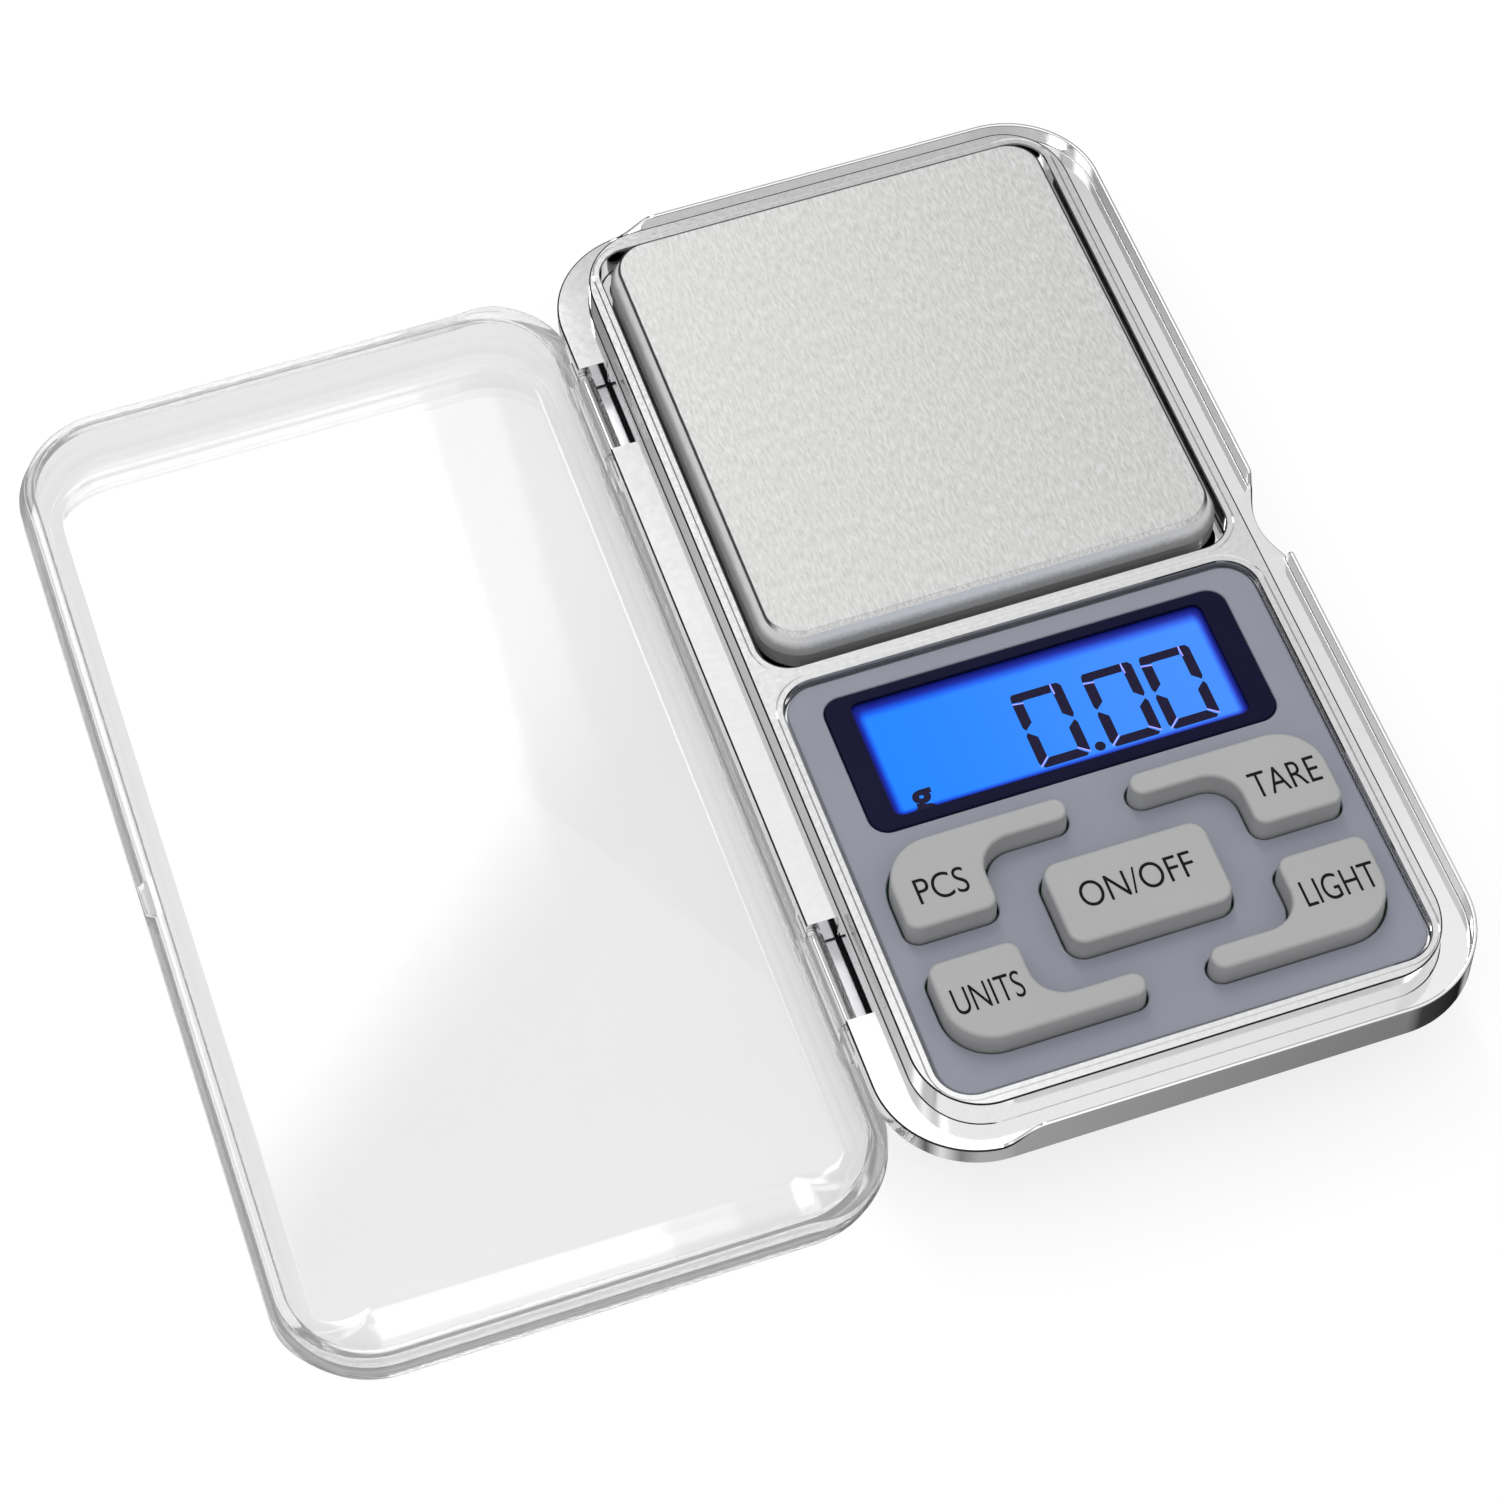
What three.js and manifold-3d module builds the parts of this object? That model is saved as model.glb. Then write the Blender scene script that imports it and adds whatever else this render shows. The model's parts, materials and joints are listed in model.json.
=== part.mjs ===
// Pocket digital gram scale with a clear hinged cover, opened flat beside the body.
// Units are millimetres and +Z is up. The origin is on the table, directly below the middle of
// the hinge axis. The body lies on the +X side, the open cover on the -X side, and the weighing
// pan is at the +Y end. Body pieces are drawn about the middle of the body and moved as a group.

import * as THREE from 'three';
import { mergeVertices } from 'three/addons/utils/BufferGeometryUtils.js';
import Module from 'manifold-3d';

const wasm = await Module();
wasm.setup();

// ---- driving dimensions -------------------------------------------------------------------
const BODY_WIDTH = 62;
const BODY_LENGTH = 120;
const HALF_WIDTH = BODY_WIDTH / 2;
const HALF_LENGTH = BODY_LENGTH / 2;
const BODY_RADIUS = 10.5;
const CORNER_STEPS = 5;
const KEY_ARC_STEPS = 3;

const FOOT_HEIGHT = 0.8;
const DECK_Z = 16;
const FLANGE_Z = 12.35;
const LIP_Z = 14.4;
const SPLIT_Z = 9.9;
const LIP_WIDTH = 0.5;
const LIP_START_X = -21;
const DECK = { x0: -27.35, x1: 27.35, y0: -57.1, y1: 57.1 };
const DECK_RADIUS = 7;
const DECK_DRAFT = 0.12;

const HINGE_INSET = 0.5;
const HINGE_Z = 10.15;
const HINGE_X = HINGE_INSET - HALF_WIDTH;
const HINGE_CENTRES_Y = [38, -36.1];
const HINGE_NAMES = ['rear', 'front'];
const NOTCH_LENGTH = 11.4;
const NOTCH_DEPTH = 3;
const EAR_LENGTH = 3.5;
const EAR_BOTTOM_Z = 8.6;
const PIN_RADIUS = 0.7;
const PIN_SIDES = 16;
const KNUCKLE_RADIUS = 1.6;
const KNUCKLE_BORE_RADIUS = 0.8;
const EAR_BORE_RADIUS = 0.76;

const SCALLOP_DEPTH = 1.35;
const SCALLOP_HALF_LENGTH = 4.9;

const KEYPAD_WINDOW = { x0: -25.6, x1: 25.6, y0: -55.45, y1: -5.2 };
const KEYPAD_WINDOW_RADIUS = 3.75;
const KEYPAD_LEDGE = 1;
const KEYPAD_LEDGE_Z = 14.65;
const PAN_WINDOW = { x0: -25.6, x1: 25.6, y0: -3.17, y1: 55.05 };
const PAN_WINDOW_RADIUS = 3.5;
const PAN_SHELF = 0.9;
const PAN_SHELF_Z = 13.2;
const CROSSBAR_BOTTOM_Z = 11.8;

const PAN_WIDTH = 48.3;
const PAN_LENGTH = 54.8;
const PAN_CENTRE_Y = 25.9;
const PAN_TOP_Z = 18.5;
const PAN_BOTTOM_Z = 13.9;
const PAN_SHEET = 0.6;
const PAN_RADIUS = 3.8;
const CARRIER_BOTTOM_Z = 13.4;
const CARRIER_PLATE = 1.2;

const PANEL_TOP_Z = 15.3;
const PANEL_BOTTOM_Z = 14.7;
const LENS = { x0: -21.7, x1: 21.7, y0: -24.6, y1: -7.8 };
const LENS_RADIUS = 2;
const KEY_TOP_Z = 17.9;
const KEY_BOTTOM_Z = 14.15;
const KEY_FLANGE = 0.6;
const KEY_FLANGE_TOP_Z = 14.55;
const KEY_GAP = 0.25;
const KEYPAD_CENTRE_Y = -39.55;
const POWER_KEY = { x0: -8.6, x1: 8.6, y0: -4.9, y1: 4.9 };
const POWER_KEY_RADIUS = 1.8;
const CORNER_KEY = { xEnd: 22.9, xInner: 13.4, xTip: 3.3, yTop: 11.95, yArm: 9.15, yBottom: 1.95 };

const BOARD_Z = 12.7;
const BOARD_THICKNESS = 0.7;
const BOARD_TOP_Z = BOARD_Z + BOARD_THICKNESS;
const CHIP_TOP_Z = BOARD_Z - 0.02;
const LENS_Z = [14.75, 15.38];
const GLASS_Z = [13.7, 14.6];
const LIGHT_Z = [10.9, 13];
const STRIP_Z = [BOARD_TOP_Z + 0.02, GLASS_Z[0] - 0.02];
const CONTROLLER = { x: -9, y: -26.3, radius: 1.8, z: 11.7 };
const CONVERTER = { x0: 1, x1: 10.9, y0: -28.2, y1: -24.5 };
const CONVERTER_Z = 11.3;
const CRYSTAL = { x0: -3.5, x1: -0.5, y: -26.3, z: 11.7, radius: 0.95 };

const CELL_RADIUS = 5.25;
const CELL_LENGTH = 44.5;
const CELL_NUB_LENGTH = 0.8;
const CELL_Z = 7.3;
const CELL_CENTRES_Y = [-47.4, -35.9];
const CELL_SHIFT_X = 1;
const CONTACT_X = 24.1;
const CONTACT_THICKNESS = 0.4;

const LOAD_CELL = { x0: -4.5, x1: 4.5, y0: 3.4, y1: 48.4 };
const LOAD_CELL_Z0 = 4.6;
const LOAD_CELL_Z1 = 10.6;
const FIXED_SCREWS_Y = [5.9, 10.9];
const FREE_SCREWS_Y = [40.9, 45.9];

const DOOR_HALF_WIDTH = 23.4;
const DOOR_BACK_Y = -29.5;
const DOOR_TOP_Z = 2;
const DOOR_TONGUE = 0.8;
const FRONT_POST = { x: 23.6, y: -26.4 };
const REAR_POST = { x: 20.5, y: 49.5 };
const POST_RADIUS = 2;
const POST_BORE_RADIUS = 0.85;
const REAR_BORE_TOP_Z = 12;
const REAR_POST_TOP_Z = 12.7;
const FRONT_POST_TOP_Z = 14.5;
const FRONT_BORE_TOP_Z = 13.4;
const WEB = { inner: 18.9, outer: 25.5, y1: 54.9, z0: CROSSBAR_BOTTOM_Z - 0.3 };
const FOOT_RADIUS = 3.2;
const FRONT_FOOT_Y = -49.5;

// Outer profile of the lower housing and of the cover: inset from the body outline, and height.
const TUB_OUTSIDE = [[5.4, 0.8], [3.9, 1.5], [2.9, 2.9], [2.2, 5.2], [1.7, SPLIT_Z]];
const TUB_INSIDE = [[5.4, 2.2], [4.4, 3.4], [3.7, 5.4], [3.2, SPLIT_Z + 1]];
// The front end of the lower housing also slopes in: its inset at the table and at the split.
const FRONT_SLOPE = { bottom: 7, top: 0 };
const FRONT_WALL = 1.5;
const COVER_TOP_Z = 20.2;
const COVER_RIM_Z = 12.65;
const COVER_LEDGE_Z = 14.5;
const COVER_RELIEF = 0.8;
const COVER_WALL = 2.9;
const SLOT_LENGTH = 2;
const SLOT_DEPTH = 1.1;
const SLOT_TOP_Z = COVER_RIM_Z + 1.6;
const TAB_HALF_LENGTH = 1.9;
const COVER_OUTSIDE = [
  [0, COVER_RIM_Z], [0, 17], [0.4, 18.5], [1.3, 19.6], [2.6, 20.1], [3.6, COVER_TOP_Z],
];
const COVER_INSIDE = [
  [COVER_WALL, COVER_RIM_Z - 1], [COVER_WALL, 16.4], [3.3, 17.6], [4.3, 18.5], [5.6, 18.8],
];

// ---- materials ----------------------------------------------------------------------------
function finish(color, roughness, metalness, opacity = 1) {
  return new THREE.MeshStandardMaterial({
    color, roughness, metalness, opacity, transparent: opacity < 1,
  });
}
const silverPlating = finish(0xd9dadc, 0.22, 0.9);
const silverShell = finish(0xb4b6ba, 0.4, 0.6);
const clearPlastic = finish(0xf2f5f6, 0.05, 0, 0.25);
const brushedSteel = finish(0xcfcfcd, 0.35, 1);
const pinSteel = finish(0xdadada, 0.15, 1);
const panelPlastic = finish(0x888b98, 0.6, 0);
const keyPlastic = finish(0xaaaaa8, 0.55, 0);
const lensPlastic = finish(0x1a1a3c, 0.15, 0);
const displayGlass = finish(0x1e82ff, 0.2, 0);
const backlightPlastic = finish(0xe8f0ff, 0.4, 0);
const boardGreen = finish(0x1f6b3a, 0.5, 0);
const chipBlack = finish(0x16161a, 0.5, 0);
const aluminium = finish(0xb9bcc0, 0.45, 1);
const gaugeWhite = finish(0xe9e6da, 0.7, 0);
const innerPlastic = finish(0x2a2b2e, 0.6, 0);
const rubber = finish(0x242424, 0.9, 0);
const springSteel = finish(0xc9cacb, 0.25, 1);
const cellJacket = finish(0x3c5f8f, 0.4, 0.3);
const screwSteel = finish(0x8d8f92, 0.3, 1);
const contactRubber = finish(0x303034, 0.9, 0);
const ribbonGrey = finish(0x9aa0a8, 0.6, 0);

// ---- solids -------------------------------------------------------------------------------
function toSolid(geometry) {
  const bare = geometry.clone();
  bare.deleteAttribute('normal');
  bare.deleteAttribute('uv');
  const merged = mergeVertices(bare, 1e-4);
  return new wasm.Manifold(new wasm.Mesh({
    numProp: 3,
    vertProperties: new Float32Array(merged.attributes.position.array),
    triVerts: new Uint32Array(merged.index.array),
  }));
}

function toMesh(name, solid, material) {
  const raw = solid.getMesh();
  const geometry = new THREE.BufferGeometry();
  geometry.setAttribute('position', new THREE.BufferAttribute(raw.vertProperties, 3));
  geometry.setIndex(new THREE.BufferAttribute(raw.triVerts, 1));
  geometry.computeVertexNormals();
  const mesh = new THREE.Mesh(geometry, material);
  mesh.name = name;
  return mesh;
}

function block(box, z0, z1) {
  const geometry = new THREE.BoxGeometry(box.x1 - box.x0, box.y1 - box.y0, z1 - z0);
  geometry.translate((box.x0 + box.x1) / 2, (box.y0 + box.y1) / 2, (z0 + z1) / 2);
  return toSolid(geometry);
}

function grown(box, amount) {
  return {
    x0: box.x0 - amount, x1: box.x1 + amount, y0: box.y0 - amount, y1: box.y1 + amount,
  };
}

function bodyBox(inset) {
  return {
    x0: -HALF_WIDTH + inset,
    x1: HALF_WIDTH - inset,
    y0: -HALF_LENGTH + inset,
    y1: HALF_LENGTH - inset,
  };
}

// Points of a rounded rectangle, counter-clockwise, with the same count at any size.
function roundedPoints(box, radius) {
  const centres = [
    [box.x1 - radius, box.y0 + radius, -Math.PI / 2],
    [box.x1 - radius, box.y1 - radius, 0],
    [box.x0 + radius, box.y1 - radius, Math.PI / 2],
    [box.x0 + radius, box.y0 + radius, Math.PI],
  ];
  const points = [];
  for (const [x, y, start] of centres) {
    for (let step = 0; step <= CORNER_STEPS; step += 1) {
      const angle = start + (Math.PI / 2) * (step / CORNER_STEPS);
      points.push(new THREE.Vector2(x + radius * Math.cos(angle), y + radius * Math.sin(angle)));
    }
  }
  return points;
}

function extruded(points, z0, z1, holes = []) {
  const shape = new THREE.Shape(points);
  for (const hole of holes) {
    shape.holes.push(new THREE.Path(hole));
  }
  const geometry = new THREE.ExtrudeGeometry(shape, { depth: z1 - z0, bevelEnabled: false });
  geometry.translate(0, 0, z0);
  return toSolid(geometry);
}

function slab(box, radius, z0, z1) {
  return extruded(roundedPoints(box, radius), z0, z1);
}

// A closed solid through rounded outlines stacked upwards, each given as [inset, height].
function stacked(profile, base = bodyBox(0), baseRadius = BODY_RADIUS) {
  const rings = profile.map(([inset, z]) => {
    const outline = roundedPoints(grown(base, -inset), Math.max(baseRadius - inset, 1));
    return outline.map((point) => new THREE.Vector3(point.x, point.y, z));
  });
  const count = rings[0].length;
  const positions = rings.flat().flatMap((point) => [point.x, point.y, point.z]);
  const index = [];
  for (let ring = 0; ring < rings.length - 1; ring += 1) {
    for (let i = 0; i < count; i += 1) {
      const a = ring * count + i;
      const b = ring * count + ((i + 1) % count);
      index.push(a, b, b + count, a, b + count, a + count);
    }
  }
  const last = (rings.length - 1) * count;
  for (let i = 1; i < count - 1; i += 1) {
    index.push(0, i + 1, i);
    index.push(last, last + i, last + i + 1);
  }
  const geometry = new THREE.BufferGeometry();
  geometry.setAttribute('position', new THREE.Float32BufferAttribute(positions, 3));
  geometry.setIndex(index);
  return toSolid(geometry);
}

// A cylinder along Z from z0 to z1, or along Y or X about a given centre.
function rod(radius, z0, z1, x = 0, y = 0, sides = 20) {
  const geometry = new THREE.CylinderGeometry(radius, radius, z1 - z0, sides);
  geometry.rotateX(Math.PI / 2);
  geometry.translate(x, y, (z0 + z1) / 2);
  return toSolid(geometry);
}

function rodAlongY(radius, y0, y1, x, z, sides = 20) {
  const geometry = new THREE.CylinderGeometry(radius, radius, y1 - y0, sides);
  geometry.translate(x, (y0 + y1) / 2, z);
  return toSolid(geometry);
}

function rodAlongX(radius, x0, x1, y, z, sides = 20) {
  const geometry = new THREE.CylinderGeometry(radius, radius, x1 - x0, sides);
  geometry.rotateZ(Math.PI / 2);
  geometry.translate((x0 + x1) / 2, y, z);
  return toSolid(geometry);
}

// ---- housings -----------------------------------------------------------------------------
function scallop() {
  const radius = (SCALLOP_HALF_LENGTH ** 2 + SCALLOP_DEPTH ** 2) / (2 * SCALLOP_DEPTH);
  return rod(radius, SPLIT_Z - 1, LIP_Z + 1, HALF_WIDTH + radius - SCALLOP_DEPTH, 0, 96);
}

function lip() {
  const ring = slab(bodyBox(0), BODY_RADIUS, FLANGE_Z - 0.5, LIP_Z)
    .subtract(slab(bodyBox(LIP_WIDTH), BODY_RADIUS - LIP_WIDTH, FLANGE_Z - 1, LIP_Z + 1));
  const openSide = { x0: -HALF_WIDTH - 1, x1: LIP_START_X, y0: -HALF_LENGTH - 1, y1: HALF_LENGTH + 1 };
  return ring.subtract(block(openSide, FLANGE_Z, LIP_Z + 1));
}

function hingeEars(centreY) {
  const reach = NOTCH_LENGTH / 2 + EAR_LENGTH;
  const ears = { x0: -HALF_WIDTH, x1: -HALF_WIDTH + 4, y0: centreY - reach, y1: centreY + reach };
  return block(ears, EAR_BOTTOM_Z, FLANGE_Z);
}

function hingeNotch(centreY) {
  const notch = {
    x0: -HALF_WIDTH - 1,
    x1: -HALF_WIDTH + NOTCH_DEPTH,
    y0: centreY - NOTCH_LENGTH / 2,
    y1: centreY + NOTCH_LENGTH / 2,
  };
  const reach = NOTCH_LENGTH / 2 + EAR_LENGTH + 1;
  const bore = rodAlongY(
    EAR_BORE_RADIUS, centreY - reach, centreY + reach, HINGE_X, HINGE_Z, PIN_SIDES,
  );
  return block(notch, EAR_BOTTOM_Z - 1, FLANGE_Z + 0.02).add(bore);
}

function upperHousing() {
  const deck = stacked(
    [[0, SPLIT_Z], [0, FLANGE_Z], [DECK_DRAFT, DECK_Z]], DECK, DECK_RADIUS,
  );
  const keypadHollow = grown(KEYPAD_WINDOW, -KEYPAD_LEDGE);
  const panHollow = grown(PAN_WINDOW, -PAN_SHELF);
  const crossbar = { x0: -24.6, x1: 24.6, y0: -7, y1: 0 };
  let housing = slab(bodyBox(0), BODY_RADIUS, SPLIT_Z, FLANGE_Z)
    .add(deck)
    .add(lip())
    .subtract(slab(KEYPAD_WINDOW, KEYPAD_WINDOW_RADIUS, KEYPAD_LEDGE_Z, DECK_Z + 1))
    .subtract(slab(keypadHollow, KEYPAD_WINDOW_RADIUS - KEYPAD_LEDGE, SPLIT_Z - 1, DECK_Z))
    .subtract(slab(PAN_WINDOW, PAN_WINDOW_RADIUS, PAN_SHELF_Z, DECK_Z + 1))
    .subtract(slab(panHollow, PAN_WINDOW_RADIUS - PAN_SHELF, SPLIT_Z - 1, DECK_Z))
    .subtract(block(crossbar, SPLIT_Z - 1, CROSSBAR_BOTTOM_Z))
    .subtract(scallop());
  for (const centreY of HINGE_CENTRES_Y) {
    housing = housing.add(hingeEars(centreY)).subtract(hingeNotch(centreY));
  }
  for (const side of [-1, 1]) {
    const web = {
      x0: Math.min(side * WEB.inner, side * WEB.outer),
      x1: Math.max(side * WEB.inner, side * WEB.outer),
      y0: REAR_POST.y - 1.6,
      y1: WEB.y1,
    };
    const rear = [side * REAR_POST.x, REAR_POST.y];
    const front = [side * FRONT_POST.x, FRONT_POST.y];
    housing = housing
      .add(block(web, WEB.z0, REAR_POST_TOP_Z))
      .add(rod(POST_RADIUS, SPLIT_Z + 0.1, REAR_POST_TOP_Z, ...rear))
      .subtract(rod(POST_BORE_RADIUS, SPLIT_Z - 1, REAR_BORE_TOP_Z, ...rear, 12))
      .add(rod(POST_RADIUS, SPLIT_Z + 0.1, FRONT_POST_TOP_Z, ...front))
      .subtract(rod(POST_BORE_RADIUS, SPLIT_Z - 1, FRONT_BORE_TOP_Z, ...front, 12));
  }
  return housing;
}

// What lies in front of the sloping front end, moved back by `depth`.
function beforeFront(depth) {
  const front = -HALF_LENGTH + depth;
  const side = [
    [-HALF_LENGTH - 1, 0], [front + FRONT_SLOPE.bottom, 0],
    [front + FRONT_SLOPE.top, SPLIT_Z + 0.1], [-HALF_LENGTH - 1, SPLIT_Z + 0.1],
  ];
  const wedge = extruded(side.map(([y, z]) => new THREE.Vector2(y, z)), 0, BODY_WIDTH + 2);
  return wedge.rotate([90, 0, 90]).translate([-HALF_WIDTH - 1, 0, 0]);
}

// The outside of the tub, kept for cutting the door and the posts to the same skin.
const tubOutside = stacked(TUB_OUTSIDE).subtract(beforeFront(0));
const tubInside = stacked(TUB_INSIDE).subtract(beforeFront(FRONT_WALL));

function screwPost(x, y) {
  return rod(POST_RADIUS, 0.8, SPLIT_Z - 0.1, x, y).intersect(tubOutside);
}

function screwHole(x, y) {
  return rod(0.95, 0, SPLIT_Z + 1, x, y, 12).add(rod(1.75, 0, 2.1, x, y, 16));
}

function batteryBayRibs() {
  let ribs = block({ x0: -24.2, x1: 24.2, y0: -29.3, y1: -28.5 }, 0.9, 12);
  for (const side of [-1, 1]) {
    const x = [side * 24.65, side * 26];
    const behindContacts = { x0: Math.min(...x), x1: Math.max(...x), y0: -52.6, y1: -30.4 };
    ribs = ribs.add(block(behindContacts, 1.4, 9.4));
  }
  return ribs;
}

function doorOpening() {
  const opening = {
    x0: -DOOR_HALF_WIDTH - 0.2, x1: DOOR_HALF_WIDTH + 0.2, y0: -HALF_LENGTH - 1, y1: DOOR_BACK_Y + 0.2,
  };
  const groove = {
    x0: opening.x0 - DOOR_TONGUE, x1: opening.x1 + DOOR_TONGUE, y0: opening.y0, y1: opening.y1,
  };
  return block(opening, 0, DOOR_TOP_Z + 0.25).add(block(groove, 1.25, DOOR_TOP_Z + 0.25));
}

function lowerHousing() {
  let housing = tubOutside.subtract(tubInside).add(batteryBayRibs());
  const pedestal = { x0: -5, x1: 5, y0: 2.6, y1: 14.2 };
  housing = housing.add(block(pedestal, 2, 3.4));
  for (const post of [FRONT_POST, REAR_POST]) {
    for (const side of [-1, 1]) {
      housing = housing
        .add(screwPost(side * post.x, post.y))
        .subtract(screwHole(side * post.x, post.y));
    }
  }
  for (const y of FIXED_SCREWS_Y) {
    housing = housing.subtract(rod(1.15, 1.5, 4, 0, y, 12));
  }
  for (const centreY of HINGE_CENTRES_Y) {
    const reach = NOTCH_LENGTH / 2 + EAR_LENGTH + 0.2;
    const relief = { x0: -HALF_WIDTH, x1: -26.8, y0: centreY - reach, y1: centreY + reach };
    housing = housing.subtract(block(relief, EAR_BOTTOM_Z - 0.3, SPLIT_Z + 1));
  }
  return housing.subtract(doorOpening());
}

function batteryDoor() {
  const plate = {
    x0: -DOOR_HALF_WIDTH, x1: DOOR_HALF_WIDTH, y0: -HALF_LENGTH, y1: DOOR_BACK_Y,
  };
  const tongues = {
    x0: plate.x0 - DOOR_TONGUE, x1: plate.x1 + DOOR_TONGUE, y0: -50.8, y1: DOOR_BACK_Y - 0.6,
  };
  return block(plate, 0, DOOR_TOP_Z)
    .intersect(tubOutside)
    .add(block(tongues, 1.45, DOOR_TOP_Z));
}

// ---- cover --------------------------------------------------------------------------------
// The cover is drawn shut over the body; its group turns it half a turn about the hinge axis.
function coverKnuckle(centreY) {
  const half = NOTCH_LENGTH / 2 - 0.3;
  const arm = {
    x0: HINGE_X - HINGE_INSET, x1: HINGE_X + KNUCKLE_RADIUS, y0: centreY - half, y1: centreY + half,
  };
  const barrel = rodAlongY(KNUCKLE_RADIUS, arm.y0, arm.y1, HINGE_X, HINGE_Z, 24);
  return barrel.add(block(arm, HINGE_Z, COVER_RIM_Z + 0.5));
}

function knuckleCuts(centreY) {
  const half = NOTCH_LENGTH / 2 - 0.3;
  const bore = rodAlongY(
    KNUCKLE_BORE_RADIUS, centreY - half - 1, centreY + half + 1, HINGE_X, HINGE_Z, PIN_SIDES,
  );
  const reliefs = [-1, 1].map((end) => {
    const y = [centreY + end * half, centreY + end * (half + SLOT_LENGTH)];
    const slot = {
      x0: -HALF_WIDTH - 1, x1: -HALF_WIDTH + SLOT_DEPTH, y0: Math.min(...y), y1: Math.max(...y),
    };
    return block(slot, COVER_RIM_Z - 1, SLOT_TOP_Z);
  });
  return bore.add(reliefs[0]).add(reliefs[1]);
}

function cover() {
  const lipSide = {
    x0: LIP_START_X - 0.4, x1: HALF_WIDTH + 1, y0: -HALF_LENGTH - 1, y1: HALF_LENGTH + 1,
  };
  const relief = block(lipSide, COVER_RIM_Z - 1, COVER_LEDGE_Z).subtract(
    slab(bodyBox(COVER_RELIEF), BODY_RADIUS - COVER_RELIEF, COVER_RIM_Z - 2, COVER_LEDGE_Z + 1),
  );
  const fingerTab = {
    x0: HALF_WIDTH - COVER_RELIEF - 0.2,
    x1: HALF_WIDTH - 0.15,
    y0: -TAB_HALF_LENGTH,
    y1: TAB_HALF_LENGTH,
  };
  let shell = stacked(COVER_OUTSIDE)
    .subtract(relief)
    .add(block(fingerTab, COVER_RIM_Z + 0.4, COVER_LEDGE_Z + 0.2))
    .subtract(stacked(COVER_INSIDE));
  for (const centreY of HINGE_CENTRES_Y) {
    shell = shell.add(coverKnuckle(centreY)).subtract(knuckleCuts(centreY));
  }
  return shell;
}

function hingePin(centreY) {
  const half = NOTCH_LENGTH / 2 + EAR_LENGTH - 0.9;
  return rodAlongY(PIN_RADIUS, centreY - half, centreY + half, HINGE_X, HINGE_Z, PIN_SIDES);
}

// ---- weighing pan and load cell -----------------------------------------------------------
function panBox(inset) {
  return {
    x0: -PAN_WIDTH / 2 + inset,
    x1: PAN_WIDTH / 2 - inset,
    y0: PAN_CENTRE_Y - PAN_LENGTH / 2 + inset,
    y1: PAN_CENTRE_Y + PAN_LENGTH / 2 - inset,
  };
}

function weighingPan() {
  const outside = stacked(
    [[0, PAN_BOTTOM_Z], [0, PAN_TOP_Z - 0.6], [0.25, PAN_TOP_Z - 0.2], [0.7, PAN_TOP_Z]],
    panBox(0), PAN_RADIUS,
  );
  const inside = slab(
    panBox(PAN_SHEET), PAN_RADIUS - PAN_SHEET, PAN_BOTTOM_Z - 1, PAN_TOP_Z - PAN_SHEET,
  );
  return outside.subtract(inside);
}

function panCarrier() {
  const wall = 1.2;
  const edge = PAN_SHEET + 0.35;
  const top = PAN_TOP_Z - PAN_SHEET - 0.1;
  const tray = slab(panBox(edge), PAN_RADIUS - edge, CARRIER_BOTTOM_Z, top).subtract(
    slab(panBox(edge + wall), 1.5, CARRIER_BOTTOM_Z + CARRIER_PLATE, top + 1),
  );
  const boss = { x0: LOAD_CELL.x0, x1: LOAD_CELL.x1, y0: 38.4, y1: LOAD_CELL.y1 };
  let carrier = tray.add(block(boss, LOAD_CELL_Z1 + 0.5, CARRIER_BOTTOM_Z + 0.5));
  for (const y of FREE_SCREWS_Y) {
    carrier = carrier.subtract(rod(1.3, LOAD_CELL_Z1, 16, 0, y, 12));
  }
  return carrier;
}

function machineScrew(shankRadius, headRadius, shankBottom, headBottom, headTop) {
  const drive = rod(headRadius * 0.45, headTop - 0.5, headTop + 1, 0, 0, 6);
  return rod(shankRadius, shankBottom, headBottom + 0.1, 0, 0, 12)
    .add(rod(headRadius, headBottom, headTop, 0, 0, 16))
    .subtract(drive);
}

function loadCell() {
  const middleY = (LOAD_CELL.y0 + LOAD_CELL.y1) / 2;
  const middleZ = (LOAD_CELL_Z0 + LOAD_CELL_Z1) / 2;
  const slot = { x0: -6, x1: 6, y0: middleY - 5, y1: middleY + 5 };
  let bar = block(LOAD_CELL, LOAD_CELL_Z0, LOAD_CELL_Z1)
    .subtract(rodAlongX(2.3, -6, 6, middleY - 5, middleZ))
    .subtract(rodAlongX(2.3, -6, 6, middleY + 5, middleZ))
    .subtract(block(slot, middleZ - 0.8, middleZ + 0.8));
  for (const y of [...FIXED_SCREWS_Y, ...FREE_SCREWS_Y]) {
    bar = bar.subtract(rod(1.3, LOAD_CELL_Z0 - 1, LOAD_CELL_Z1 + 1, 0, y, 12));
  }
  return bar;
}

function loadCellSpacer() {
  const box = { x0: LOAD_CELL.x0, x1: LOAD_CELL.x1, y0: LOAD_CELL.y0, y1: 13.4 };
  let spacer = block(box, 3.45, 4.55);
  for (const y of FIXED_SCREWS_Y) {
    spacer = spacer.subtract(rod(1.3, 3, 5, 0, y, 12));
  }
  return spacer;
}

function strainGauge() {
  return block({ x0: -1.9, x1: 1.9, y0: 22.6, y1: 29.2 }, 0, 0.3);
}

// The flat lead from the gauges, in the Y-Z plane, under the crossbar and up to the board.
function gaugeRibbon() {
  const thickness = 0.3;
  const route = [[22, 11], [-6.4, 11], [-7.7, 12.2]];
  const upper = route.map(([y, z]) => new THREE.Vector2(y, z + thickness));
  const lower = route.map(([y, z]) => new THREE.Vector2(y, z)).reverse();
  const ribbon = extruded([...upper, ...lower], 0, 2);
  return ribbon.rotate([90, 0, 90]).translate([2.3, 0, 0]);
}

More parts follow.
